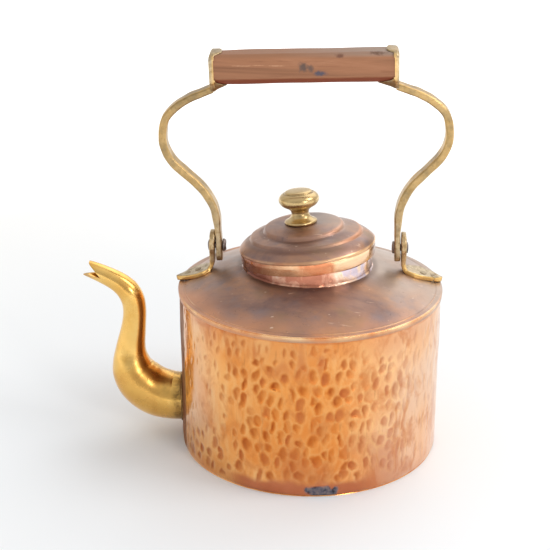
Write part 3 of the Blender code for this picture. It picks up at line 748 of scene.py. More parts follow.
def make_shoulder():
    """The shoulder's sheet: folded down over the wall, a flat band, a low cone and an upturned neck."""
    under = WALL_TOP + GAP
    upturn = NECK_RADIUS - SHEET - 2 * GAP
    fold = WALL_RADIUS + GAP
    outside = [(RIM_RADIUS - 0.0003, under - 0.0030), (RIM_RADIUS - 0.0002, under - 0.0024),
               (RIM_RADIUS, RIM_TOP - 0.0003), (RIM_RADIUS - 0.0012, RIM_TOP),
               (BAND_INNER + 0.0011, RIM_TOP + 0.0001), (BAND_INNER + 0.0005, RIM_TOP + 0.0006),
               (BAND_INNER, RIM_TOP + 0.0005), (BAND_INNER - 0.0008, CONE_FOOT + 0.0001)]
    cone = [(between(BAND_INNER, CONE_TOP_RADIUS, t),
             between(CONE_FOOT, CONE_TOP, t) + 0.0007 * math.sin(math.pi * t))
            for t in np.linspace(0.06, 0.97, 30)]
    neck = [(CONE_TOP_RADIUS, CONE_TOP), (upturn, CONE_TOP + 0.0014), (upturn, NECK_HIGH.z - 0.004),
            (upturn - SHEET, NECK_HIGH.z - 0.004), (upturn - SHEET, CONE_TOP),
            (CONE_TOP_RADIUS, CONE_TOP - SHEET), (BAND_INNER, CONE_FOOT - SHEET),
            (BAND_INNER + 0.001, under), (fold, under), (fold, under - 0.0030)]
    verts, faces = lathe(eased(outside, 0.0003, 3) + cone + eased(neck, 0.0006, 3), 240)
    mesh = mesh_from("shoulder", skewed(verts), faces)
    where = positions(mesh)
    radius, theta = np.hypot(where[:, 0], where[:, 1]), np.arctan2(where[:, 1], where[:, 0])
    on_cone = (CONE_TOP_RADIUS < radius) & (radius < BAND_INNER - 0.001)
    free = on_cone & (where[:, 2] > CONE_FOOT - 0.0004)
    for vert, moves, point in zip(mesh.vertices, free, where):
        if moves:
            point = Vector(point)
            vert.co.z += 0.00032 * noise.noise(point / 0.017) + 0.00014 * noise.noise(point / 0.006)
    cloud = np.array([noise.noise(Vector(point) / 0.02) for point in where])
    rub_and_highlight = 0.45 + 0.8 * cloud + 0.5 * near_angle(theta, 235, 60, 15)
    store(mesh, "rub_and_highlight", np.clip(smooth_step(radius, 0.070, 0.090) * rub_and_highlight, 0, 1))
    # Painted sheen on the right of the shoulder, weaker at the back left.
    painted_sheen = np.maximum(near_angle(theta, 15, 70, 25), 0.5 * near_angle(theta, 165, 40, 10))
    store(mesh, "painted_sheen", np.clip(painted_sheen * (0.75 + 0.5 * cloud), 0, 0.9))
    # Painted highlight: the rim's edge is paler and smoother along the front, with a broken pale line
    # round the band's inner edge.
    lit = near_angle(theta, 272, 88, 52)
    polish_and_painted_light = smooth_step(radius, RIM_RADIUS - 0.0013, RIM_RADIUS - 0.0007) * lit
    polish_and_painted_light = polish_and_painted_light * between(0.25, 1.0, smooth_step(where[:, 2], RIM_TOP - 0.0022, RIM_TOP - 0.0010))
    line = near_value(radius, BAND_INNER + 0.0004, 0.0001, 0.0005) * smooth_step(cloud, -0.25, 0.15)
    store(mesh, "polish_and_painted_light", np.maximum(polish_and_painted_light, 0.8 * line * lit))
    seam = near_value(radius, BAND_INNER + 0.0002, 0.0002, 0.0008)
    from_neck = np.hypot(where[:, 0] - NECK_X, where[:, 1]) - CONE_TOP_RADIUS
    root = 1 - smooth_step(from_neck, 0.0005, 0.005)
    store(mesh, "tarnish_and_shade", np.clip(0.15 * seam + 0.55 * root, 0, 1))
    look = aged_copper("shoulder_copper_look", 0.8, 1.0)
    add_piece("shoulder", mesh, look, "kettle", ["shoulder_plate"], 60)


def shade_ends(mesh, dark):
    """Paint shade on the parts of an upright band that face left and hard right, and a painted highlight
    on those that face the front right.
    """
    where = positions(mesh)
    theta = np.arctan2(where[:, 1], where[:, 0])
    # Painted shade on the parts that face left and hard right.
    tarnish_and_shade = np.maximum(dark * near_angle(theta, 206, 58, 16), 0.7 * near_angle(theta, 350, 12, 3))
    store(mesh, "tarnish_and_shade", tarnish_and_shade)
    # Painted highlight towards the front right and painted shade towards the front left, as shifts of the
    # copper's clouds.
    store(mesh, "polish_and_painted_light", near_angle(theta, 322, 48, 22) - 0.7 * near_angle(theta, 246, 48, 26))


def make_neck():
    """The ring that the lid sits over, and the fillet of metal at its foot."""
    inner, foot = NECK_RADIUS - SHEET, NECK_LOW.z
    collar = [(NECK_RADIUS + 0.0006, foot), (NECK_RADIUS + 0.0003, foot + 0.004),
              (NECK_RADIUS, NECK_HIGH.z), (inner, NECK_HIGH.z), (inner, foot + GAP)]
    fillet = [(NECK_RADIUS - 0.0001, foot - 0.0012), (NECK_RADIUS + 0.0016, foot - 0.0016),
              (NECK_RADIUS + 0.0005, foot + 0.0002), (NECK_RADIUS - 0.0001, foot + 0.0012)]
    for name, profile, ease, steps, size, seed, nodes, sharp in (
            ("neck", collar, 0.0004, 180, 0.007, 9.0, ["neck_collar"], 50),
            ("neck_fillet", fillet, 0.0007, 220, 0.005, 5.0, [], 180)):
        profile = eased(profile, ease, closed=True)
        mesh = mesh_from(name, *lathe(profile, steps), Matrix.Translation((NECK_X, 0, 0)))
        dent(mesh, 0.0003, size, seed)
        shade_ends(mesh, 0.85)
        add_piece(name, mesh, neck_look, "kettle", nodes, sharp)


# --- Spout -----------------------------------------------------------------------------------------

SPOUT_LINE = [
    (-0.0926, 0.0287, 0.0173), (-0.1010, 0.0291, 0.0178), (-0.1097, 0.0312, 0.0180),
    (-0.1174, 0.0353, 0.0178), (-0.1239, 0.0416, 0.0172), (-0.1280, 0.0492, 0.0155),
    (-0.1294, 0.0570, 0.0133), (-0.1294, 0.0650, 0.0111), (-0.1284, 0.0730, 0.0098),
    (-0.1269, 0.0815, 0.0090), (-0.1258, 0.0900, 0.0084), (-0.1255, 0.0972, 0.0083),
    (-0.1264, 0.1042, 0.0084), (-0.1292, 0.1104, 0.0083), (-0.1334, 0.1150, 0.0077),
    (-0.1390, 0.1191, 0.0071), (-0.1472, 0.1234, 0.0065), (-0.1549, 0.1267, 0.0060),
    (-0.1610, 0.1288, 0.0053)]
BEAK_CUT = [(-0.1478, 0.1222), (-0.1700, 0.1236), (-0.1700, 0.1450), (-0.1574, 0.1450),
            (-0.1562, 0.1322), (-0.1530, 0.1288)]
SPOUT_SIDES = 56
SPOUT_SPAN = 7               # rings from one row of the line to the next


def on_wall(y, out):
    """X of the wall's left side at some Y, moved out from the metal."""
    return -np.sqrt((WALL_RADIUS + out) ** 2 - y ** 2)


def spout_skin(inset):
    """Rings of one side of the spout's metal, its first one lying on the wall's curve."""
    line = spline(SPOUT_LINE, SPOUT_SPAN)
    turn = np.linspace(0, math.tau, SPOUT_SIDES, endpoint=False)
    rings = []
    for index, ((x, z, radius), (tx, tz)) in enumerate(zip(line, along(line))):
        share = index / (len(line) - 1)
        if index < SPOUT_SPAN:
            tx, tz = -1.0, 0.0
        r = radius - inset * (0.0012 + 0.0008 * (1 - share))
        out = r * np.cos(turn)
        rings.append(np.stack([x - tz * out, r * np.sin(turn), z + tx * out], -1))
    rings[0][:, 0] = on_wall(rings[0][:, 1], GAP)
    for step in range(1, 5):
        nearest = on_wall(rings[step][:, 1], GAP) - 0.0012 * step / 5
        rings[step][:, 0] = np.minimum(rings[step][:, 0], nearest)
    return np.array(rings)


def cut_by(mesh, cutter_mesh):
    """The mesh with another one's volume taken away."""
    target = bpy.data.objects.new("cut_target", mesh)
    cutter = bpy.data.objects.new("cut_tool", cutter_mesh)
    for made in (target, cutter):
        bpy.context.scene.collection.objects.link(made)
    hole = target.modifiers.new("hole", "BOOLEAN")
    hole.operation, hole.object, hole.solver = "DIFFERENCE", cutter, "EXACT"
    graph = bpy.context.evaluated_depsgraph_get()
    result = bpy.data.meshes.new_from_object(target.evaluated_get(graph))
    for made in (target, cutter):
        bpy.data.objects.remove(made)
    result.materials.clear()
    return result


def make_spout():
    """The brass gooseneck, open at both ends, its beak cut open along the top."""
    outer, inner = spout_skin(0.0), spout_skin(1.0)
    rings = np.concatenate([outer, inner[::-1]])
    faces = grid_faces(len(rings), SPOUT_SIDES, wrap_rows=True)
    mesh = mesh_from("spout", rings.reshape(-1, 3), faces)
    sides = np.array([[(x, y, z) for x, z in BEAK_CUT] for y in (-0.02, 0.02)])
    mesh = cut_by(mesh, mesh_from("beak_air", *tube(sides)))
    mesh.name = "spout"
    dent(mesh, 0.00022, 0.016, 2.0)
    x, y, z = positions(mesh).T
    face = normals(mesh)
    root = smooth_step(x, -0.101, -0.0945)
    # Painted reflection: the riser's side that faces the wall is made browner.
    riser_back = smooth_step(face[:, 0], 0.55, 0.95) * smooth_step(z, 0.045, 0.06)
    belly_top = smooth_step(face[:, 2], 0.2, 0.8) * (z < 0.06) * smooth_step(x, -0.118, -0.104)
    tarnish_and_shade = np.maximum.reduce([0.8 * root, 0.15 * riser_back, 0.45 * belly_top])
    speck = np.exp(-((x + 0.1132) / 0.0014) ** 2 - ((z - 0.088) / 0.0016) ** 2) * (y < 0)
    lip = smooth_step(-x, 0.153, 0.160)
    store(mesh, "tarnish_and_shade", np.clip(tarnish_and_shade + 0.6 * speck + 0.5 * lip, 0, 1))
    tones = srgb(220, 164, 82), srgb(236, 186, 98), srgb(246, 204, 122)
    look = polished_brass("spout_brass_look", *tones, 0.20)
    add_piece("gooseneck", mesh, look, "kettle", ["spout"], 40)


def make_spout_solder():
    """The ring of solder between the spout's root and the wall."""
    steps = 72
    turn = np.linspace(0, math.tau, steps, endpoint=False)
    rings = []
    for out, radius in ((0.0001, 0.0176), (0.0002, 0.0186), (0.0009, 0.0182), (0.0014, 0.0174),
                        (0.0008, 0.0168)):
        y = radius * np.sin(turn)
        rings.append(np.stack([on_wall(y, out), y, SPOUT_LINE[0][1] + radius * np.cos(turn)], -1))
    faces = grid_faces(len(rings), steps, wrap_rows=True)
    mesh = mesh_from("spout_solder", np.array(rings).reshape(-1, 3), faces)
    dent(mesh, 0.0005, 0.003, 3.0)
    add_piece("spout_solder", mesh, solder, "kettle", [], 180)


# --- Lid -------------------------------------------------------------------------------------------

DOME_PROFILE = [
    (0.0475, 0.0004), (0.0476, 0.0014), (0.0471, 0.0022), (0.0456, 0.0040), (0.0434, 0.0059),
    (0.0410, 0.0073), (0.0398, 0.0079), (0.0391, 0.0090), (0.0384, 0.0098), (0.0370, 0.0103),
    (0.0335, 0.0113), (0.0300, 0.0121), (0.0286, 0.0126), (0.0279, 0.0138), (0.0272, 0.0148),
    (0.0257, 0.0154), (0.0200, 0.0163), (0.0120, 0.0166), (0.0060, DOME_TOP)]
KNOB_PROFILE = [
    (0.0110, 0.0000), (0.0114, 0.0009), (0.0109, 0.0018), (0.0092, 0.0026), (0.0072, 0.0042),
    (0.0062, 0.0062), (0.0061, 0.0076), (0.0068, 0.0094), (0.0088, 0.0110), (0.0116, 0.0126),
    (0.0135, 0.0146), (0.0141, 0.0166), (0.0137, 0.0186), (0.0122, 0.0204), (0.0104, 0.0214),
    (0.0098, 0.0215), (0.0094, 0.0222), (0.0080, 0.0229), (0.0045, 0.0234), (0.0000, 0.0236)]
LID_STEPS = 200
KNOB_BORE = 0.0026           # radius of the hole in the lid for the knob's stud


def lid_place():
    """Where the tilted lid sits, from a lid built level about the origin."""
    turn = Vector((0, 0, 1)).rotation_difference(LID_UP).to_matrix().to_4x4()
    return Matrix.Translation(LID_SEAT) @ turn


def off_centre(radius):
    """How far the lid's steps stand to one side of its rim."""
    return KNOB_OFFSET * np.clip(1 - (radius - 0.012) / 0.028, 0, 1)


def make_dome():
    """The lid's stepped sheet, with the steps a little to one side and tilted to the front."""
    outside = spline(DOME_PROFILE, 4)
    inside = [(max(r - SHEET, KNOB_BORE), h - SHEET) for r, h in DOME_PROFILE[1::2]]
    lip = [(LID_RADIUS - 0.0002, -0.0005), (LID_RADIUS - SHEET, -0.0005)]
    hole = [(KNOB_BORE, DOME_TOP), (KNOB_BORE, DOME_TOP - SHEET)]
    verts, faces = lathe(np.vstack([hole[:1], outside[::-1], lip, inside, hole[1:]]), LID_STEPS)
    radius = np.hypot(verts[:, 0], verts[:, 1])
    tilt = np.clip((radius - 0.012) / 0.010, 0, 1) * np.clip(1 - (radius - 0.026) / 0.014, 0, 1)
    verts[:, 2] += 0.05 * verts[:, 1] * tilt
    verts[:, 0] += off_centre(radius)
    mesh = mesh_from("dome", verts, faces)
    x, y, _ = positions(mesh).T
    radius = np.hypot(x - off_centre(np.hypot(x, y)), y)
    theta = np.arctan2(y, x)
    side = 0.5 + 0.5 * np.cos(theta - math.radians(-140))
    crooks = np.maximum(*(near_value(radius, at, 0.0006, 0.0030) for at in (0.0302, 0.0412)))
    ridges = np.maximum(*(near_value(radius, at, 0.0004, 0.0018) for at in (0.0272, 0.0386)))
    # Painted shade in the crooks of the steps to the left and front, and a painted highlight on the
    # ridges to the right and back.
    store(mesh, "tarnish_and_shade", 0.48 * crooks * smooth_step(side, 0.3, 0.9))
    store(mesh, "rub_and_highlight", 0.9 * ridges * smooth_step(side, 0.75, 0.25))
    # Painted sheen on the right of the lid's top.
    store(mesh, "painted_sheen", 0.6 * near_angle(theta, 20, 80, 20) * smooth_step(radius, 0.040, 0.020))
    # Painted highlight along the lid's rim, weaker to the left and front.
    store(mesh, "polish_and_painted_light", smooth_step(radius, 0.0468, 0.0474) * (1 - 0.7 * side))
    dent(mesh, 0.00030, 0.013, 4.0)
    mesh.transform(lid_place())
    look = aged_copper("lid_copper_look", 0.9, 6.0)
    add_piece("dome", mesh, look, "lid", ["lid_dome"], 60)


def make_skirt():
    """The upright band under the lid's rim."""
    inner = SKIRT_RADIUS - SHEET
    top = 0.0002
    profile = eased([(LID_RADIUS, top), (LID_RADIUS, -0.0022), (SKIRT_RADIUS - 0.0002, -SKIRT_DEPTH),
                     (inner, -SKIRT_DEPTH), (inner, top)], 0.0005, closed=True)
    verts, faces = lathe(profile, LID_STEPS)
    mesh = mesh_from("skirt", verts, faces)
    dent(mesh, 0.00025, 0.010, 8.0)
    shade_ends(mesh, 0.7)
    mesh.transform(lid_place())
    add_piece("skirt", mesh, skirt_look, "lid", ["lid_skirt"])


def make_knob():
    """The turned brass knob, bored for its stud."""
    bore, depth = 0.0024, 0.008
    outside = spline(KNOB_PROFILE, 5)
    outside[-1] = (0.0, KNOB_PROFILE[-1][1])
    profile = np.vstack([[(0.0, depth), (bore, depth), (bore, 0.0)], outside])
    verts, faces = lathe(np.maximum(profile, 0.0), 96, closed=False)
    mesh = mesh_from("knob", verts, faces)
    x, y, z = positions(mesh).T
    radius = np.hypot(x, y)
    waist = near_value(z, 0.0085, 0.001, 0.0055) * (radius > bore)
    ring = near_value(radius, 0.0101, 0.0002, 0.0009) * (z > 0.02)
    store(mesh, "tarnish_and_shade", np.clip(0.45 * waist + 0.7 * ring, 0, 1))
    mesh.transform(lid_place() @ Matrix.Translation((KNOB_OFFSET, 0, DOME_TOP + GAP)))
    tones = srgb(176, 146, 96), srgb(202, 174, 122), srgb(224, 198, 150)
    look = polished_brass("knob_brass_look", *tones, 0.26)
    add_piece("knob", mesh, look, "lid", ["lid_knob"], 60)


# --- Lugs ------------------------------------------------------------------------------------------

EAR_STRAP = 0.0038           # thickness of the brass at the ear
FOOT_STRAP = 0.0035
# For each side: the foot's half widths and middles in Y over its reach, ending at its tip.
FEET = {
    -1: [(0.0722, 0.0066, 0.0060), (0.0760, 0.0088, 0.0062), (0.0810, 0.0090, 0.0064),
         (0.0860, 0.0066, 0.0060), (0.0910, 0.0036, 0.0052), (0.0946, 0.0010, 0.0046)],
    1: [(0.0690, 0.0066, 0.0066), (0.0740, 0.0086, 0.0080), (0.0790, 0.0090, 0.0092),
        (0.0840, 0.0074, 0.0100), (0.0890, 0.0046, 0.0102), (0.0931, 0.0012, 0.0098)]}


def shoulder_height(x):
    """Height of the shoulder's top under the lugs' feet."""
    top = CONE_TOP_RADIUS + (NECK_X if x > 0 else -NECK_X)
    share = (BAND_INNER - abs(x)) / (BAND_INNER - top)
    return max(CONE_FOOT + (CONE_TOP - CONE_FOOT) * share, RIM_TOP + GAP)


def make_lug(side, word):
    """A brass strap: a round-topped ear outside the arm, bent out into a leaf-shaped foot."""
    ear = side * EAR_X + NECK_X
    crown_z, crown = PIVOT.z + 0.0040, 0.0070
    cap = [(ear - side * 0.0003, crown_z + crown * math.sin(a), max(crown * math.cos(a) ** 0.8, 0.0010),
            PIVOT.y, EAR_STRAP * (0.62 + 0.38 * math.cos(a)))
           for a in np.linspace(math.pi / 2, 0.12, 9)]
    shank = [(ear + side * out, z, half, PIVOT.y, thickness) for out, z, half, thickness in (
        (0.0, crown_z - 0.001, crown, EAR_STRAP), (0.0, PIVOT.z - 0.001, 0.0069, EAR_STRAP),
        (0.0, 0.1395, 0.0056, 0.0036), (0.0, 0.1345, 0.0050, 0.0033),
        (0.0003, 0.1308, 0.0050, 0.0031), (0.0017, 0.1284, 0.0054, 0.0030))]
    rise = FOOT_STRAP / 2 + GAP
    foot = [(side * reach, shoulder_height(side * reach) + rise - 0.0008 * (reach > 0.093),
             half, middle, FOOT_STRAP) for reach, half, middle in FEET[side]]
    line = np.vstack([cap, spline(shank + foot, 8)])
    mesh = mesh_from("lug_" + word, *strap(line, 0.0009))
    face = normals(mesh)
    foot_part = 1 - smooth_step(positions(mesh)[:, 2], 0.130, 0.136)
    # Painted highlight: faces that look to the front are a brighter gold, mostly on the foot.
    store(mesh, "edge", 0.8 * smooth_step(-face[:, 1], 0.45, 0.85) * np.maximum(foot_part, 0.25))
    # Pale grey mottling: tarnish, and on the foot's upward faces also a painted reflection of the pale
    # room.
    store(mesh, "dull", between(0.75, smooth_step(face[:, 2], 0.6, 0.9), foot_part))
    dent(mesh, 0.00034, 0.0050, 6.0 + side)
    look = aged_brass("lug_brass_%s_look" % word, 0.6, 3.0 + side)
    add_piece("lug_strap_" + word, mesh, look, "kettle", ["lug_" + word], 60)


def make_foot_rivets(side, word):
    """Hammered-down heads that hold the feet."""
    slope = math.atan2(CONE_TOP - CONE_FOOT, BAND_INNER - CONE_TOP_RADIUS - side * NECK_X)
    for reach, place in ((0.0785, "inner"), (0.0860, "outer")):
        x = side * reach
        low, top = -SHEET - 2 * GAP, FOOT_STRAP + GAP
        profile = eased([(0.0, low - 0.0009), (0.0026, low - 0.0007), (0.0026, low), (0.0016, low),
                         (0.0016, top - 0.0002), (0.0024, top), (0.0020, top + 0.0003),
                         (0.0, top + 0.0005)], 0.0003)
        mesh = mesh_from("rivet", *lathe(profile, 32, closed=False))
        dent(mesh, 0.00022, 0.0017, reach * 100)
        lift = Matrix.Translation((x, PIVOT.y, shoulder_height(x)))
        mesh.transform(lift @ Matrix.Rotation(side * slope, 4, "Y"))
        name = "foot_rivet_%s_%s" % (word, place)
        add_piece("head_" + name, mesh, worn, "kettle", [name], 60)


def make_pivot(side, word):
    """The pin through an arm and its ear, with a full head inside and a flatter one outside."""
    arm_inner = ARM_X - ARM_THICKNESS / 2 + (-0.0004 if side < 0 else 0.0003)
    ear_outer = EAR_X + EAR_STRAP / 2 + 0.0001
    proud = 0.0023 if side < 0 else 0.0018
    head = [(0.0, -proud), (0.0036, 0.0001 - proud), (0.0044, -0.0010), (0.0043, 0.0), (0.0024, 0.0)]
    tail = [(0.0024, 0.0), (0.0040, 0.0), (0.0038, 0.0006), (0.0022, 0.0010), (0.0, 0.0011)]
    profile = [(r, arm_inner + h) for r, h in head] + [(r, ear_outer + h) for r, h in tail]
    profile = eased(profile, 0.0005)
    mesh = mesh_from("pivot", *lathe(profile, 40, closed=False))
    dent(mesh, 0.00035, 0.0030, 3.0 + side)
    place = Matrix.Translation((NECK_X, PIVOT.y, PIVOT.z))
    mesh.transform(place @ Matrix.Rotation(side * math.pi / 2, 4, "Y"))
    add_piece("pin_" + word, mesh, dark, "kettle", ["pivot_rivet_" + word], 60)


# --- Bail ------------------------------------------------------------------------------------------

ARM_LINE = [
    (0.0627, 0.0100), (0.0636, 0.0240), (0.0664, 0.0340), (0.0732, 0.0450), (0.0838, 0.0556),
    (0.0922, 0.0644), (0.0968, 0.0740), (0.0976, 0.0840), (0.0950, 0.0946), (0.0872, 0.1028),
    (0.0778, 0.1084), (0.0704, 0.1113), (0.0622, 0.1144)]


def out_of_true(across, height):
    """A point of the bail, leaned over as the real one is."""
    grown = min(max(height / 0.04, 0.0), 1.0)
    return across - BAIL_LEAN * height, height + BAIL_LEAN * across * grown


def make_arm(side, word):
    """A brass bar from its round eye at the pivot, out round the elbow and in to the grip's plate."""
    eye_x = ARM_X + (0.0003 if side > 0 else 0.0)
    eye_z, eye = (-0.0050 if side < 0 else -0.0036), 0.0062
    cap = [(eye_x, eye_z - eye * math.cos(a), max(eye * math.sin(a) ** 0.7, 0.0010))
           for a in np.linspace(0, math.pi / 2 - 0.1, 9)]
    shank = [(eye_x, eye_z, eye), (eye_x, 0.001, eye), (eye_x, 0.0060, 0.0058)]
    rest = [(u, h, ARM_HALF_WIDTH) for u, h in ARM_LINE]
    rest[-1] = (*ARM_LINE[-1], ARM_HALF_WIDTH - 0.0002)
    line = np.vstack([cap, spline(shank + rest, 9)])
    height = line[:, 1]
    thicker = 0.0012 * smooth_step(height, 0.012, 0.022) * (1 - 0.5 * smooth_step(height, 0.100, 0.112))
    placed = [(*out_of_true(side * u, h), half, PIVOT.y, ARM_THICKNESS + more)
              for (u, h, half), more in zip(line, thicker)]
    place = Matrix.Translation((PIVOT.x, 0, PIVOT.z))
    mesh = mesh_from("arm_" + word, *strap(placed, 0.0012), place)
    _, y, z = positions(mesh).T
    # Painted highlight along the bar's rounded front and back edges.
    store(mesh, "edge", 0.35 * near_value(np.abs(y - PIVOT.y), 0.0047, 0.0002, 0.0007))
    store(mesh, "dull", between(0.65, 0.15, smooth_step(z - PIVOT.z, 0.0, 0.05)))
    dent(mesh, 0.00026, 0.0075, 1.0 + side)
    look = aged_brass("arm_brass_%s_look" % word, 0.65, 5.0 + side)
    add_piece("arm_" + word, mesh, look, "bail", ["bail_arm_" + word], 60)


def lean_place():
    """Where the grip stands: built straight over the pivot, then leaned with the bail."""
    middle = (GRIP_LOW + GRIP_HIGH) / 2
    return (Matrix.Translation((PIVOT.x - BAIL_LEAN * middle, PIVOT.y, PIVOT.z + middle))
            @ Matrix.Rotation(-math.atan(BAIL_LEAN), 4, "Y") @ Matrix.Translation((0, 0, -middle)))


def make_grip():
    """The eight-sided block of wood, worn a little uneven."""
    half = GRIP_DEPTH / 2
    top_cut, low_cut = 0.0030, 0.0045
    outline = np.array(eased(
        [(half, GRIP_LOW + low_cut), (half, GRIP_HIGH - top_cut), (half - top_cut, GRIP_HIGH),
         (top_cut - half, GRIP_HIGH), (-half, GRIP_HIGH - top_cut), (-half, GRIP_LOW + low_cut),
         (low_cut - half, GRIP_LOW), (half - low_cut, GRIP_LOW)], 0.0013, closed=True))
    middle = (GRIP_LOW + GRIP_HIGH) / 2
    rings = []
    for x in np.linspace(-GRIP_HALF, GRIP_HALF, 90):
        end = 1 - 0.012 * (abs(x) / GRIP_HALF) ** 6
        rings.append(np.stack([np.full(len(outline), x), outline[:, 0] * end,
                               middle + (outline[:, 1] - middle) * end], -1))
    mesh = mesh_from("grip", *tube(rings))
    for vert in mesh.vertices:
        x, y, z = vert.co
        vert.co.z += 0.0004 * noise.noise(Vector((x / 0.03, y / 0.012, z / 0.012)))
        vert.co.y += 0.0002 * noise.noise(Vector((x / 0.02, 3.0, vert.co.z / 0.01)))
    mesh.transform(lean_place())
    add_piece("grip", mesh, grip_wood(), "bail", ["grip_bar"], 60)


def make_end_plate(side, word):
    """Sheet over an end of the wood, with its top and bottom edges folded in along the bar."""
    tongue = 0.0072 if side < 0 else 0.0100
    half_slices = (0.0045, 0.0072, 0.0090, 0.0104, 0.0112, 0.0114)
    rings = []
    for y in (*(-y for y in half_slices[::-1]), 0.0, *half_slices):
        out = abs(y)
        low = GRIP_LOW - GAP + 0.9 * max(out - 0.0068, 0.0)
        high = GRIP_HIGH + GAP - 0.9 * max(out - 0.0080, 0.0)
        hang = 0.0048 * (1 - 0.6 * smooth_step(out, 0.0062, 0.0105))
        tab = 0.0048 * (1 - smooth_step(out, 0.0066, 0.0086)) + 0.0010
        reach = tongue * (1 - smooth_step(out, 0.0066, 0.0100)) + 0.0010
        outline = np.array(eased(
            [(PLATE_OUTER, low - hang), (PLATE_OUTER, high - 0.001),
             (PLATE_OUTER - 0.0014, high + 0.0006), (PLATE_INNER - 0.9 * tab, high + 0.0006),
             (PLATE_INNER - tab, high - 0.0002), (PLATE_INNER - 0.0004, high),
             (PLATE_INNER - 0.0004, low), (PLATE_INNER - reach, low),
             (PLATE_INNER - reach - 0.0004, low - 0.0005),
             (PLATE_INNER - 0.25 * reach, low - 0.7 * hang),
             (PLATE_INNER + 0.0002, low - hang - 0.0002)], 0.0006, 3, closed=True))
        if out == half_slices[-1]:
            outline += (outline.mean(0) - outline) * 0.06
        rings.append(np.stack([side * outline[:, 0], np.full(len(outline), y), outline[:, 1]], -1))
    mesh = mesh_from("plate_" + word, *tube(rings))
    x, y, _ = positions(mesh).T
    front = smooth_step(-y, 0.0092, 0.0108)
    inner_line = 1 - smooth_step(np.abs(x), PLATE_INNER + 0.0004, PLATE_INNER + 0.0014)
    # Painted highlight: a pale line along the plate's inner edge, on its front only.
    store(mesh, "edge", 0.7 * front * inner_line)
    store(mesh, "dull", 0.5 + 0.35 * front)
    dent(mesh, 0.00034, 0.0045, 2.0 + side)
    mesh.transform(lean_place())
    look = aged_brass("plate_brass_%s_look" % word, 0.8, 8.0 + side)
    add_piece("plate_" + word, mesh, look, "bail", ["grip_plate_" + word], 60)


def make_rod():
    """The rod through the grip, its ends hammered nearly flush with the plates."""
    half = PLATE_OUTER + 0.0004
    end = [(0.0, half), (0.0036, half - 0.0002), (0.0040, half - 0.0008), (0.0022, half - 0.0012)]
    profile = eased([(r, -h) for r, h in end] + end[::-1], 0.0002)
    mesh = mesh_from("rod", *lathe(profile, 32, closed=False))
    dent(mesh, 0.0002, 0.0025, 7.0)
    middle = Matrix.Translation((0, 0, (GRIP_LOW + GRIP_HIGH) / 2))
    mesh.transform(lean_place() @ middle @ Matrix.Rotation(math.pi / 2, 4, "Y"))
    add_piece("rod", mesh, dark, "bail", ["grip_rod"], 60)


def dress_hidden_nodes():
    """The small CAD pieces that stay as they are get a worn metal look."""
    for name in ("knob_stud", "knob_washer", "grip_nail"):
        mesh = frame["nodes"][name].data
        mesh.materials.clear()
        mesh.materials.append(dark)


# --- Room ------------------------------------------------------------------------------------------

FRONT_LIGHT = 0.70           # strength of the room's light from the front, against 1 elsewhere
LEFT_LIGHT, RIGHT_LIGHT = 0.76, 0.84


def make_floor():
    """A pale floor, a little darker and bluish near the kettle as a painted shade, and glowing far away
    so that it has no horizon.
    """
    mesh = mesh_from("floor", [(-9, -9, 0), (9, -9, 0), (9, 9, 0), (-9, 9, 0)], [(0, 1, 2, 3)])
    look = Look("floor_look", metallic=0.0, roughness=0.8)
    away = look.sum("ADD", look.length(look.place), look.times(look.noise(3, 2), 0.1))
    # Painted shade: darker and bluish near the kettle, paler far away.
    look.colour = look.ramp(away, (0.25, srgb(240, 244, 248)), (0.70, srgb(254, 254, 253)))
    glow = look.ramp(look.times(away, 0.3), (0.18, 0.0), (0.50, 0.8))
    look.put(look.shader.inputs["Emission Strength"], glow)
    look.put(look.shader.inputs["Emission Color"], (1.0, 1.0, 1.0, 1.0))
    mesh.materials.append(look.finish())
    floor = bpy.data.objects.new("floor", mesh)
    bpy.context.scene.collection.objects.link(floor)


def area_light(name, place, target, size, power, colour=(1, 1, 1)):
    """A square light turned to its target."""
    light = bpy.data.lights.new(name, "AREA")
    light.shape, light.size, light.energy, light.color = "SQUARE", size, power, colour
    lamp = bpy.data.objects.new(name, light)
    lamp.location = place
    lamp.rotation_euler = (Vector(target) - Vector(place)).to_track_quat("-Z", "Y").to_euler()
    bpy.context.scene.collection.objects.link(lamp)


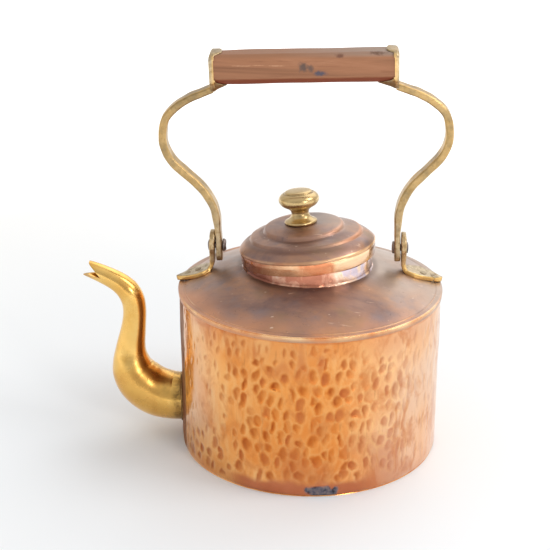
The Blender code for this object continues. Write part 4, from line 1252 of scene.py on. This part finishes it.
def make_room():
    """A pale room, brighter behind and to the right, dimmer in front where the metal mirrors it."""
    world = bpy.data.worlds.new("room")
    world.use_nodes = True
    tree = world.node_tree
    background = tree.nodes["Background"]
    background.inputs["Color"].default_value = (1.0, 0.99, 0.975, 1.0)
    place = tree.nodes.new("ShaderNodeTexCoord").outputs["Generated"]

    def toward(direction, low, high, start, end):
        """A strength that goes from low to high as the view turns in a direction."""
        lean = tree.nodes.new("ShaderNodeVectorMath")
        lean.operation = "DOT_PRODUCT"
        lean.inputs[1].default_value = Vector(direction).normalized()
        tree.links.new(place, lean.inputs[0])
        span = tree.nodes.new("ShaderNodeMapRange")
        span.interpolation_type = "SMOOTHSTEP"
        for key, value in (("From Min", start), ("From Max", end), ("To Min", low), ("To Max", high)):
            span.inputs[key].default_value = value
        tree.links.new(lean.outputs["Value"], span.inputs["Value"])
        return span.outputs[0]

    room = tree.nodes.new("ShaderNodeMath")
    room.operation = "MULTIPLY"
    tree.links.new(toward((0.0, 1.0, 0.12), FRONT_LIGHT, 1.0, -0.95, -0.25), room.inputs[0])
    tree.links.new(toward((0.8, 0.35, 0.5), LEFT_LIGHT, RIGHT_LIGHT, -0.7, 0.9), room.inputs[1])
    seen = tree.nodes.new("ShaderNodeLightPath")
    strength = tree.nodes.new("ShaderNodeMix")
    tree.links.new(seen.outputs["Is Camera Ray"], strength.inputs[0])
    tree.links.new(room.outputs[0], strength.inputs[2])
    strength.inputs[3].default_value = 1.0
    tree.links.new(strength.outputs[0], background.inputs["Strength"])
    bpy.context.scene.world = world
    area_light("key", (1.3, -0.2, 1.5), (0, 0, 0.1), 0.8, 10, (1.0, 0.98, 0.95))
    area_light("window", (0.80, -1.15, 0.62), (0, 0, 0.08), 0.30, 3.6)
    area_light("back", (0.8, 1.7, 1.7), (0, 0.5, 0.0), 2.0, 12)
    bpy.context.scene.view_settings.view_transform = "Standard"


def make_camera():
    camera = bpy.data.cameras.new("camera")
    camera.sensor_width = 36
    camera.lens = 89.2
    made = bpy.data.objects.new("camera", camera)
    made.location = (0.0142, -0.8935, 0.4798)
    made.rotation_euler = (math.radians(68.34), 0, math.radians(2.5))
    bpy.context.scene.collection.objects.link(made)
    bpy.context.scene.camera = made


skirt_look = bright_copper("skirt_copper_look", 24, srgb(194, 112, 72), srgb(222, 144, 98),
                           srgb(244, 190, 144), srgb(250, 208, 166))
neck_look = bright_copper("neck_copper_look", 58, srgb(184, 116, 90), srgb(224, 168, 140),
                          srgb(246, 212, 186), srgb(206, 190, 202))
solder = solder_look("spout_solder_look", srgb(110, 80, 48), srgb(160, 122, 76), srgb(206, 176, 122))
dark = worn_metal("dark_rivet_look", srgb(98, 86, 84), srgb(146, 132, 128), srgb(180, 168, 148))
worn = worn_metal("worn_rivet_look", srgb(110, 94, 74), srgb(160, 142, 116), srgb(200, 182, 146))
make_wall()
make_base()
make_shoulder()
make_neck()
make_spout()
make_spout_solder()
make_dome()
make_skirt()
make_knob()
for number, label in ((-1, "left"), (1, "right")):
    make_lug(number, label)
    make_foot_rivets(number, label)
    make_pivot(number, label)
    make_arm(number, label)
    make_end_plate(number, label)
make_grip()
make_rod()
dress_hidden_nodes()
make_floor()
make_room()
make_camera()
